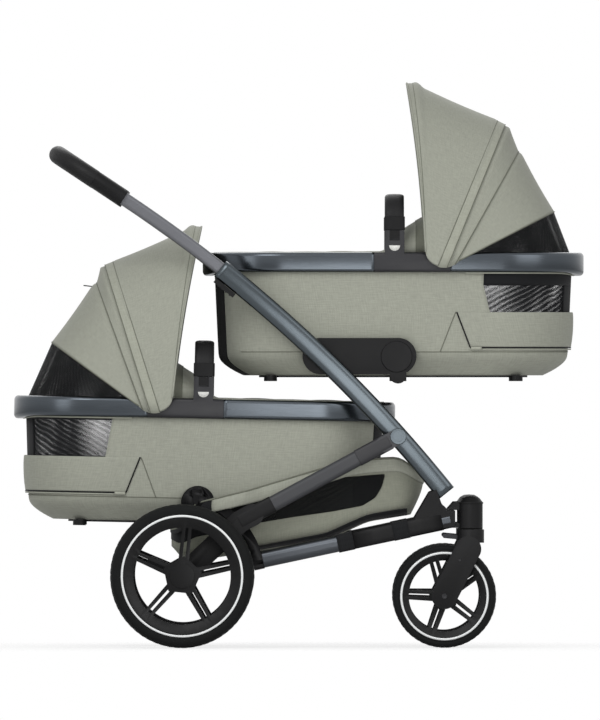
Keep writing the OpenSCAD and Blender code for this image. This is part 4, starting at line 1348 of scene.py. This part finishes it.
    def mattress(self) -> None:
        """Builds the mattress: a padded form that swells in its cover."""
        bm = bmesh.new()
        bmesh.ops.create_cube(bm, size=1.0)
        bmesh.ops.scale(bm, vec=Vector(self.pad) * MM, verts=bm.verts[:])
        upright = [e for e in bm.edges if abs(e.verts[0].co.z - e.verts[1].co.z) > 0.01]
        bmesh.ops.bevel(bm, geom=upright, offset=self.pad_corner * MM, segments=8, profile=0.5,
                        affect="EDGES", material=-1)
        bmesh.ops.translate(bm, vec=Vector((0, 0, self.pad_z)) * MM, verts=bm.verts[:])
        piece = self.add("mattress_pad", bm, KNIT, "mattress_fabric", replaces=["mattress"])
        swell(piece, self.pad_voxel, self.pad_cap)
        smooth(piece)

    def build(self, nodes: dict[str, Piece]) -> None:
        """Builds and dresses the whole cot.

        Args:
            nodes: the frame's nodes.
        """
        self.rim()
        self.tub()
        self.windows()
        self.pocket()
        self.seams()
        self.apron()
        self.carry_handle()
        self.hood()
        self.mattress()
        dress(nodes, [f"{self.name}_base", f"{self.name}_catches"], ABS)
        softened(nodes[f"{self.name}_rim_sides"], f"{self.name}_rim_side_pieces", ABS_GREY, self.body,
                 1.2)


def swell(piece: Piece, voxel: float, cap: float) -> None:
    """Swells a pad by a short cloth simulation and keeps the result.

    Args:
        piece: the pad.
        voxel: the size of its remeshed faces in millimetres.
        cap: how far a point may move in millimetres.
    """
    bpy.context.view_layer.objects.active = piece
    for other in bpy.context.selected_objects:
        other.select_set(False)
    piece.select_set(True)
    remesh = piece.modifiers.new("remesh", "REMESH")
    remesh.mode = "VOXEL"
    remesh.voxel_size = voxel * MM
    bpy.ops.object.modifier_apply(modifier=remesh.name)
    before = [v.co.copy() for v in piece.data.vertices]
    cloth = piece.modifiers.new("cloth", "CLOTH")
    cloth.settings.use_pressure = True
    cloth.settings.uniform_pressure_force = 4.0
    cloth.settings.effector_weights.gravity = 0.0
    scene = bpy.context.scene
    for step in range(1, 17):
        scene.frame_set(step)
    bpy.ops.object.modifier_apply(modifier=cloth.name)
    scene.frame_set(1)
    for vert, start in zip(piece.data.vertices, before):
        moved = vert.co - start
        if moved.length > cap * MM:
            vert.co = start + moved.normalized() * cap * MM
    for face in piece.data.polygons:
        face.use_smooth = True


@dataclass
class Basket:
    """The shopping basket: a cloth tub with a hem, net windows and straps to the bars."""

    x: float = -266.0
    length: float = 526.0
    z: float = 181.0
    height: float = 214.0
    half_w: float = 208.4
    power: float = 7.0
    top: Sequence[Point] = ((0, 0.3), (0.044, 0.32), (0.078, 0.55), (0.312, 0.69), (0.707, 0.98), (0.912, 1),
                            (1, 0.81))
    floor: Sequence[Point] = ((0, 0.17), (0.02, 0.07), (0.06, 0.01), (0.1, 0), (0.618, 0.2), (0.778, 0.38),
                              (1, 0.47))
    sides: Sequence[Point] = ((0, 0.74), (0.05, 0.93), (0.16, 1), (1, 1))
    net_top: Sequence[Point] = ((-168, 280), (16, 349), (178, 362))
    net_low: Sequence[Point] = ((-168, 246), (-14, 272), (70, 284), (132, 296), (159, 313), (174, 338),
                                (178, 361))
    front_from: float = 150.0
    front_tuck: float = 27.0
    hem_out: Sequence[Point] = ((-262.0, 0.0), (-246.0, 28.6), (-122.0, 28.6), (-78.0, 0.0))
    hem_split: float = 0.345
    round_mm: float = 1450.0
    base_x: Point = (-150.0, 225.0)
    middle_z: float = 330.0
    bar_rear: Point = (-75.0, 184.0)
    bar_front: Point = (314.5, 267.0)
    bar_half: Point = (17.6, 13.0)
    tube_y: float = 222.0

    def high(self, x: float, u: float) -> float:
        """The height of the wall at a place along the basket.

        Args:
            x: the place along the pram.
            u: 0 at the floor, 1 at the edge.

        Returns:
            The height in millimetres.
        """
        share = (x - self.x) / self.length
        low, high = steps(share, self.floor, 0.02), steps(share, self.top, 0.03)
        return self.z + self.height * between(low, high, u)

    def edge(self, t: float, inset: float, w_share: float) -> Vector:
        """A point of the basket's outline, seen from above.

        Args:
            t: 0 to 1 once round, from the middle of the front.
            inset: how far inside.
            w_share: the width at this height as a share.

        Returns:
            The point, with no height.
        """
        l, w = self.length / 2 - inset, self.half_w * w_share - inset
        c, s = math.cos(2 * math.pi * t), math.sin(2 * math.pi * t)
        grow = (abs(c) ** self.power + abs(s) ** self.power) ** (-1 / self.power)
        return Vector((self.x + self.length / 2 + l * c * grow, w * s * grow, 0))

    def wall(self, t: float, u: float, out: float) -> Vector:
        """A point of the basket's cloth.

        Args:
            t: 0 to 1 once round.
            u: 0 at the floor, 1 at the edge.
            out: how far outside the cloth.

        Returns:
            The point in millimetres.
        """
        at = self.edge(t, -out, steps(u, self.sides, 0.06))
        front = max(0.0, (at.x - self.front_from) / (self.x + self.length - self.front_from))
        at.x -= self.front_tuck * front ** 2 * (1 - u) ** 2
        at.z = self.high(min(at.x, self.x + self.length), u)
        return at

    def hem(self, t: float, v: float) -> Vector:
        """A point of the hem, which passes outside the lower cot's bracket.

        Args:
            t: 0 to 1 once round.
            v: 0 at the edge, 1 at the hem's lower side.

        Returns:
            The point in millimetres.
        """
        at = self.wall(t, 1 - 0.22 * v, 1.2 + 1.6 * math.sin(math.pi * v))
        past = steps(at.x, self.hem_out, 14.0)
        at.y += math.copysign(past * min(1.0, max(0.0, (abs(at.y) - 150) / 40)), at.y)
        return at

    def cloth(self, name: str, counts: tuple[int, int], place: Place, size: Point, finish: Finish,
              thickness: float) -> None:
        """Lays a sheet of cloth or net on the basket.

        Args:
            name: the piece's name.
            counts: quads along and down.
            place: gives its points in millimetres.
            size: its flat size in millimetres, for its weave.
            finish: its surface.
            thickness: in millimetres.
        """
        bm = patch(*counts, place, size)
        outward(bm, Vector((0, 0, self.middle_z)) * MM)
        thicken(add_piece(name, bm, finish, "frame"), thickness)

    def build(self) -> None:
        """Builds the basket's cloth, hem, net windows, base edge and straps."""
        bm = patch(220, 26, lambda t, u: self.wall(t, u, 0.0), (self.round_mm, 180.0))
        bmesh.ops.remove_doubles(bm, verts=bm.verts[:], dist=0.02 * MM)
        floor = [e for e in bm.edges if e.is_boundary and sum(v.co.z for v in e.verts) / 2 < self.high(
            sum(v.co.x for v in e.verts) / 2 / MM, 0.3) * MM]
        made = bmesh.ops.grid_fill(bm, edges=floor, use_smooth=True)
        inner = [v for f in made["faces"] for v in f.verts if not v.is_boundary]
        bmesh.ops.smooth_vert(bm, verts=inner, factor=0.5)
        outward(bm, Vector((0, 0, self.middle_z)) * MM)
        # The basket's cloth in its darker canvas: painted shade under the lower cot
        thicken(add_piece("basket_cloth", bm, BASKET_SHADED_CANVAS, "frame", ["basket"]), 2.0)
        split = self.hem_split
        for name, start, end, finish in (("basket_hem", -split, split, SAGE),
                                         ("basket_rear_hem", split, 1 - split, BLACK_CLOTH)):
            self.cloth(name, (150, 8), lambda t, v: self.hem(between(start, end, t), v),
                       ((end - start) * self.round_mm, 32.0), finish, 1.6)
        rim = [self.hem(k / 200, 0.0) for k in range(201)]
        bm = sweep(rim, Vector((0, 0, 1)), round_section(1.8), 400)
        add_piece("basket_edge", bm, SAGE_SEAM_SHADE, "frame")
        self.cloth("basket_rear_tape", (60, 8),
                   lambda u, v: self.wall(between(split, 1 - split, u), between(0.42, 0.8, v), 1.0),
                   (520.0, 40.0), BLACK_CLOTH, 1.6)
        for side, name in SIDES:
            self.window(side, name)
            self.base_edge(side, name)
            for number, x in enumerate((80.0, 195.0)):
                self.strap(side, f"{name}_{number}", x)
            self.strap(side, f"{name}_sleeve", 112.0, 190.0, 0.9, ABS)

    def window(self, side: int, name: str) -> None:
        """Builds the net window in one side.

        Args:
            side: -1 for the right, 1 for the left.
            name: the side's name.
        """
        start, end = self.net_top[0][0], self.net_top[-1][0]

        def place(u: float, v: float) -> Vector:
            """The point at a share along and a share down."""
            x = between(start, end, 1 - (1 - u) ** 1.6)
            low = steps(x, self.net_low, 3)
            high = max(low, steps(x, self.net_top, 8))
            return Vector((x, side * (self.half_w + 0.7), between(high, low, v)))

        self.cloth(f"basket_net_{name}", (70, 14), place, (end - start, 70.0), BASKET_NET, 0.8)

    def base_edge(self, side: int, name: str) -> None:
        """Builds the black tape along the floor's edge.

        Args:
            side: -1 for the right, 1 for the left.
            name: the side's name.
        """
        start, end = self.base_x

        def place(u: float, v: float) -> Vector:
            """The point at a share along and a share up."""
            x = between(start, end, u)
            share = 0.005 + 0.125 * v * (0.5 + 0.5 * u)
            wide = self.half_w * steps(share, self.sides, 0.02) + 1.0
            return Vector((x, side * wide, self.high(x, share) - 0.6))

        self.cloth(f"basket_base_{name}", (48, 6), place, (end - start, 20.0), BLACK_CLOTH, 1.6)

    def strap(self, side: int, name: str, x: float, length: float = 34.0, thick: float = 1.8,
              finish: Finish = BLACK_CLOTH) -> None:
        """Builds a strap or a sleeve round a lower bar.

        Args:
            side: -1 for the right, 1 for the left.
            name: the strap's name.
            x: where the strap starts.
            length: how far it runs along the bar.
            thick: how far it stands off the bar.
            finish: its surface.
        """
        rear, front = (Vector((end[0], side * self.tube_y, end[1]))
                       for end in (self.bar_rear, self.bar_front))
        way = (front - rear).normalized()
        first = rear + way * ((x - rear.x) / way.x)
        points = [first + way * length * k / 4 for k in range(5)]
        section = rounded_section(self.bar_half[0] + thick, self.bar_half[1] + thick, 5.0)
        bm = sweep(points, Vector((0, 1, 0)), section, 4)
        add_piece(f"basket_strap_{name}", bm, finish, "frame")


@dataclass
class Chassis:
    """The frame, the handle and the rear frame: CAD nodes with their finishes, and small fittings."""

    collar: Point = (-163.5, 789.0)
    arc_r: float = 2960.0
    arc_tilt: float = 38.4
    tube_len: float = 664.0
    tube_half: Point = (20.5, 13.0)
    tube_wall: float = 1.2
    hinge: Point = (206.32, 440.18)
    leg_angle: float = 28.3
    leg_y: float = 247.0
    leg_h: float = 33.0
    leg_w: float = 20.0
    grip_start: Point = (-364.08, 934.73)
    grip_slope: float = 33.6
    swivel_x: float = 356.5
    front_axle: Point = (302.5, 108.0)
    fork_screw: Point = (334.0, 183.0)
    adapter_disc: Point = (203.0, 606.0)
    hub_half: float = 12.8
    arm_half: float = 11.0
    hub_outline: Sequence[Point] = ((286, 330), (271, 323), (264, 311), (240, 270), (252, 240), (318, 252),
                                    (325, 253), (325, 286), (306, 287), (296, 302))
    hub_arms: Sequence[Sequence[Point]] = (((308, 287), (336, 287), (336, 303), (322, 303)),
                                           ((310, 250), (336, 250), (336, 260), (310, 260)))
    housing_line: Sequence[Point] = ((9.4, 247.5), (24.4, 247.5), (25.6, 249), (25.6, 299.5), (26.8, 300.5),
                                     (26.8, 303), (25.2, 304), (19, 312), (11, 316.5), (0, 317.4))
    grip_bend: float = 91.0
    grip_straight: float = 74.0
    grip_d: float = 38.0
    tube_y: float = 222.0

    def main_tube(self, side: int, name: str) -> None:
        """Builds a curved main tube with an oval section, open at its ends.

        Args:
            side: -1 for the right, 1 for the left.
            name: the side's name.
        """
        first = math.radians(self.arc_tilt)
        points = []
        for k in range(61):
            a = first + self.tube_len * k / 60 / self.arc_r
            x = self.collar[0] + self.arc_r * (math.sin(a) - math.sin(first))
            z = self.collar[1] + self.arc_r * (math.cos(a) - math.cos(first))
            points.append(Vector((x, side * self.tube_y, z)))
        bm = sweep(points, Vector((0, 1, 0)), rounded_section(*self.tube_half, 2.9, 56), 60)
        bmesh.ops.delete(bm, geom=[f for f in bm.faces if len(f.verts) > 4], context="FACES_ONLY")
        node = f"main_tube_{name}"
        thicken(add_piece(f"{node}_oval", bm, ANODISED, "frame", [node]), self.tube_wall)

    def leg_sleeve(self, side: int, name: str, start: float, end: float, finish: Finish) -> None:
        """Builds a plastic sleeve on a rear leg.

        Args:
            side: -1 for the right, 1 for the left.
            name: the sleeve's name.
            start: its start along the leg from the hinge.
            end: its end.
            finish: its surface.
        """
        a = math.radians(180 + self.leg_angle)
        way = Vector((math.cos(a), 0, math.sin(a)))
        at = Vector((self.hinge[0], side * self.leg_y, self.hinge[1]))
        points = [at + way * between(start, end, k / 8) for k in range(9)]
        section = rounded_section(self.leg_h / 2 + 1.2, self.leg_w / 2 + 1.2, 3.4, 40)
        bm = sweep(points, Vector((0, 1, 0)), section, 8)
        round_edges(add_piece(name, bm, finish, "rear_frame"), 1.0)

    def grip_seam(self) -> None:
        """Builds the stitched seam along the grip's inner side."""
        a = math.radians(self.grip_slope)
        way, up = Vector((-math.cos(a), 0, math.sin(a))), Vector((math.sin(a), 0, math.cos(a)))
        start = Vector((self.grip_start[0], 0, self.grip_start[1]))
        r = self.grip_d / 2
        bend, half = self.grip_bend, self.tube_y
        points = []
        for k in range(25):
            t = math.pi / 2 * k / 24
            points.append(start + way * (self.grip_straight + (bend - r - 0.2) * math.sin(t))
                          + Vector((0, -(half - bend) - (bend - r - 0.2) * math.cos(t), 0)))
        points += [Vector((p.x, -p.y, p.z)) for p in reversed(points)]
        bm = sweep(points, up, round_section(1.0), 150)
        add_piece("grip_seam", bm, SAGE_SEAM_SHADE, "handle")

    def plate(self, outline: Sequence[Point], y0: float, y1: float) -> BMesh:
        """Makes a flat plate that stands along the pram.

        Args:
            outline: its corners in the side view.
            y0: where it starts across the pram.
            y1: where it ends.

        Returns:
            The closed mesh.
        """
        bm = bmesh.new()
        face = bm.faces.new([bm.verts.new(Vector((x, y0, z)) * MM) for x, z in outline])
        made = bmesh.ops.extrude_face_region(bm, geom=[face])
        bmesh.ops.translate(bm, vec=Vector((0, y1 - y0, 0)) * MM,
                            verts=[v for v in made["geom"] if isinstance(v, bmesh.types.BMVert)])
        bmesh.ops.recalc_face_normals(bm, faces=bm.faces[:])
        return bm

    def front_hub(self, side: int, name: str) -> None:
        """Builds the bracket at the tube's lower end, with the swivel housing in front of it.

        Args:
            side: -1 for the right, 1 for the left.
            name: the side's name.
        """
        y0, y1 = side * (self.tube_y - self.hub_half), side * (self.tube_y + self.hub_half)
        bracket = self.plate(self.hub_outline, y0, y1)
        inner, outer = side * (self.tube_y - self.arm_half), side * (self.tube_y + self.arm_half)
        arms = [self.plate(arm, inner, outer) for arm in self.hub_arms]
        housing = bmesh.new()
        axis = Vector((self.swivel_x, side * self.tube_y, 0))
        verts = [housing.verts.new((axis + Vector((r, 0, z))) * MM) for r, z in self.housing_line]
        edges = [housing.edges.new(pair) for pair in zip(verts, verts[1:])]
        bmesh.ops.spin(housing, geom=verts + edges, cent=axis * MM, axis=(0, 0, 1), angle=2 * math.pi,
                       steps=48, use_merge=True)
        bmesh.ops.remove_doubles(housing, verts=housing.verts[:], dist=MERGE * MM)
        bmesh.ops.recalc_face_normals(housing, faces=housing.faces[:])
        piece = add_piece(f"front_bracket_{name}", joined([bracket, *arms, housing], 0.001), ABS, "frame",
                          [f"front_hub_{name}"])
        round_edges(piece, 1.5)

    def fittings(self, side: int, name: str) -> None:
        """Builds the raised discs, bolts and screws of one side.

        Args:
            side: -1 for the right, 1 for the left.
            name: the side's name.
        """
        for part, at, r, high, base, finish, body in (
                ("adapter_disc", self.adapter_disc, 33.0, 2.6, 208.8, ABS, "frame"),
                ("leg_bolt", self.hinge, 17.2, 2.0, 256.6, ANODISED_CAP, "rear_frame"),
                ("fork_bolt", self.front_axle, 6.0, 1.6, 251.0, BUTTON, f"fork_{name}"),
                ("fork_screw", self.fork_screw, 2.6, 0.9, 251.0, BUTTON, f"fork_{name}")):
            bm = bmesh.new()
            bmesh.ops.create_cone(bm, cap_ends=True, segments=48, radius1=r * MM, radius2=(r - high / 2) * MM,
                                  depth=high * MM)
            stand = Matrix.Translation(Vector((at[0], side * (base + high / 2), at[1])) * MM)
            turned = stand @ Matrix.Rotation(-side * math.pi / 2, 4, "X")
            bmesh.ops.transform(bm, matrix=turned, verts=bm.verts[:])
            face = [f for f in bm.faces if len(f.verts) > 4 and f.normal.y * side > 0]
            bmesh.ops.inset_region(bm, faces=face, thickness=r * 0.3 * MM, depth=-0.4 * MM)
            bmesh.ops.recalc_face_normals(bm, faces=bm.faces[:])
            round_edges(add_piece(f"{part}_{name}", bm, finish, body), 0.5)

    def build(self, nodes: dict[str, Piece]) -> None:
        """Dresses the nodes and builds the fittings.

        Args:
            nodes: the frame's nodes.
        """
        pair = ("left", "right")
        dress(nodes, [f"lower_bar_{s}" for s in pair], BAR_METAL)
        dress(nodes, [f"rear_leg_{s}" for s in pair] + ["front_cross_tube"], PAINT)
        dress(nodes, ["handlebar"], SATIN)
        dress(nodes, ["handle_grip"], LEATHER)
        dress(nodes, ["leg_pins"], ANODISED_CAP)
        dress(nodes, ["rear_axle"], STEEL)
        dress(nodes, [f"{n}_{s}" for n in ("height_button", "swivel_lock") for s in pair], BUTTON)
        dress(nodes, [f"fold_slider_{s}" for s in pair], ABS)
        for side, name in SIDES:
            for part, body in (("upper_adapter", "frame"), ("lower_adapter", "frame"),
                               ("axle_housing", "rear_frame"), ("front_fork", f"fork_{name}")):
                softened(nodes[f"{part}_{name}"], f"{part}_{name}_moulding", ABS, body)
            for part in ("rear", "front"):
                rim = f"{part}_rim_{name}"
                softened(nodes[rim], f"{rim}_moulding", NYLON, f"{part}_wheel_{name}", 1.0)
            self.leg_sleeve(side, f"leg_sleeve_upper_{name}", 20, 96, ABS_GREY)
            self.leg_sleeve(side, f"leg_sleeve_lower_{name}", 296, 374.6, ABS)
            self.main_tube(side, name)
            self.front_hub(side, name)
            self.fittings(side, name)
        softened(nodes["handle_sleeves"], "handle_sleeve_pieces", ABS, "handle")
        softened(nodes["brake_pedal"], "brake_pedal_moulding", ABS, "brake")
        self.grip_seam()


@dataclass
class Studio:
    """The pale floor, the soft light and the camera."""

    scale: float = 2.08
    middle: Point = (299.0, 648.0)
    frame_px: Point = (600.0, 720.0)
    plane_y: float = -222.0
    distance: float = 55.0
    shade_from: float = 0.55
    shade_to: float = 1.1
    least_clear: float = 0.75
    floor_half: float = 60.0
    floor_grey: str = "#c8c8c8"
    fill: float = 0.42
    sensor: float = 36.0
    clip_end: float = 200.0
    aim_z: float = 0.55

    def camera(self) -> None:
        """Sets a level camera far off to the pram's right, with a long lens."""
        data = bpy.data.cameras.new("camera")
        data.sensor_width = self.sensor
        data.lens = self.sensor * self.distance / (self.frame_px[1] * self.scale * MM)
        data.clip_end = self.clip_end
        eye = bpy.data.objects.new("camera", data)
        bpy.context.scene.collection.objects.link(eye)
        x = (self.frame_px[0] / 2 - self.middle[0]) * self.scale * MM
        z = (self.middle[1] - self.frame_px[1] / 2) * self.scale * MM
        eye.location = (x, self.plane_y * MM - self.distance, z)
        eye.rotation_euler = (math.pi / 2, 0, 0)
        bpy.context.scene.camera = eye

    def lamp(self, name: str, at: Point3, size: float, watts: float) -> None:
        """Adds a soft lamp that looks at the pram's middle.

        Args:
            name: the lamp's name.
            at: its place in metres.
            size: its side in metres.
            watts: its power.
        """
        data = bpy.data.lights.new(name, "AREA")
        data.size = size
        data.energy = watts
        light = bpy.data.objects.new(name, data)
        bpy.context.scene.collection.objects.link(light)
        light.location = at
        aim = Vector((0, 0, self.aim_z)) - Vector(at)
        light.rotation_euler = aim.to_track_quat("-Z", "Y").to_euler()

    def rays(self, tree: Tree) -> tuple[Socket, Socket]:
        """Tells apart the rays that show the background.

        Args:
            tree: the node tree.

        Returns:
            1 for a ray from the camera, and 1 for that and for a glossy or transmitted one.
        """
        path = add_node(tree, "ShaderNodeLightPath", {}).outputs
        shown = path["Is Camera Ray"]
        for name in ("Is Glossy Ray", "Is Transmission Ray"):
            both = {0: shown, 1: path[name]}
            shown = add_node(tree, "ShaderNodeMath", both, operation="MAXIMUM").outputs[0]
        return path["Is Camera Ray"], shown

    def floor(self) -> None:
        """Lays a pale floor that keeps a soft shadow."""
        bm = bmesh.new()
        bmesh.ops.create_grid(bm, x_segments=1, y_segments=1, size=self.floor_half)
        mesh = bpy.data.meshes.new("floor")
        bm.to_mesh(mesh)
        bm.free()
        floor = bpy.data.objects.new("floor", mesh)
        bpy.context.scene.collection.objects.link(floor)
        made = bpy.data.materials.new("pale_floor")
        made.use_nodes = True
        tree = made.node_tree
        shader = tree.nodes["Principled BSDF"]
        shader.inputs["Roughness"].default_value = 1.0
        shader.inputs["Specular IOR Level"].default_value = 0.0
        camera, shown = self.rays(tree)
        tones = {0: shown, 6: linear(self.floor_grey), 7: (1, 1, 1, 1)}
        tone = add_node(tree, "ShaderNodeMix", tones, data_type="RGBA").outputs[2]
        tree.links.new(tone, shader.inputs["Base Color"])
        # The camera looks through the floor to the white background, all the more away from the pram
        place = add_node(tree, "ShaderNodeTexCoord", {}).outputs["Object"]
        far = add_node(tree, "ShaderNodeVectorMath", {0: place}, operation="LENGTH").outputs["Value"]
        fade = add_node(tree, "ShaderNodeMapRange", {0: far, 1: self.shade_from, 2: self.shade_to,
                                                     3: self.least_clear, 4: 1.0}).outputs[0]
        seen = add_node(tree, "ShaderNodeMath", {0: camera, 1: fade}, operation="MULTIPLY").outputs[0]
        clear = add_node(tree, "ShaderNodeBsdfTransparent", {}).outputs[0]
        mixed = add_node(tree, "ShaderNodeMixShader", {0: seen, 1: shader.outputs[0], 2: clear}).outputs[0]
        tree.links.new(mixed, tree.nodes["Material Output"].inputs["Surface"])
        mesh.materials.append(made)

    def world(self) -> None:
        """Sets a white background that lights the pram only softly."""
        world = bpy.data.worlds.new("studio")
        bpy.context.scene.world = world
        world.use_nodes = True
        tree = world.node_tree
        back = tree.nodes["Background"]
        back.inputs["Color"].default_value = (1, 1, 1, 1)
        strength = add_node(tree, "ShaderNodeMapRange", {0: self.rays(tree)[1], 3: self.fill, 4: 1.0})
        tree.links.new(strength.outputs[0], back.inputs["Strength"])

    def build(self) -> None:
        """Builds the whole studio."""
        self.camera()
        self.floor()
        self.world()
        self.lamp("key", (-1.6, -3.4, 3.4), 2.2, 75.0)
        self.lamp("fill", (2.6, -3.0, 2.0), 2.4, 36.0)
        self.lamp("back", (0.0, 3.2, 3.0), 2.6, 45.0)
        self.lamp("side", (-2.4, -2.0, 0.9), 1.0, 6.0)
        self.lamp("glint", (0.14, -1.3, 0.52), 0.5, 3.0)
        bpy.context.scene.view_settings.view_transform = "Standard"


def wheels() -> list[Wheel]:
    """The pram's four wheels.

    Returns:
        The wheels.
    """
    made = []
    for side, name in SIDES:
        rear, front = Vector((-243, side * 286, 150)), Vector((302.5, side * 222, 108))
        made.append(Wheel(f"rear_{name}", f"rear_wheel_{name}", rear, 150, 48, 28, side, f"rear_tyre_{name}",
                          60, 3.0))
        made.append(Wheel(f"front_{name}", f"front_wheel_{name}", front, 108, 36, 17, side,
                          f"front_tyre_{name}", 48, -1.2))
    return made


def main() -> None:
    """Builds the studio and the pram."""
    logging.basicConfig(level=logging.INFO)
    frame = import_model()
    Studio().build()
    nodes = frame["nodes"]
    Chassis().build(nodes)
    for wheel in wheels():
        wheel.tyre()
        wheel.stripe()
    Basket().build()
    for place in CotPlace:
        Carrycot(place).build(nodes)


if __name__ == "__main__":
    main()
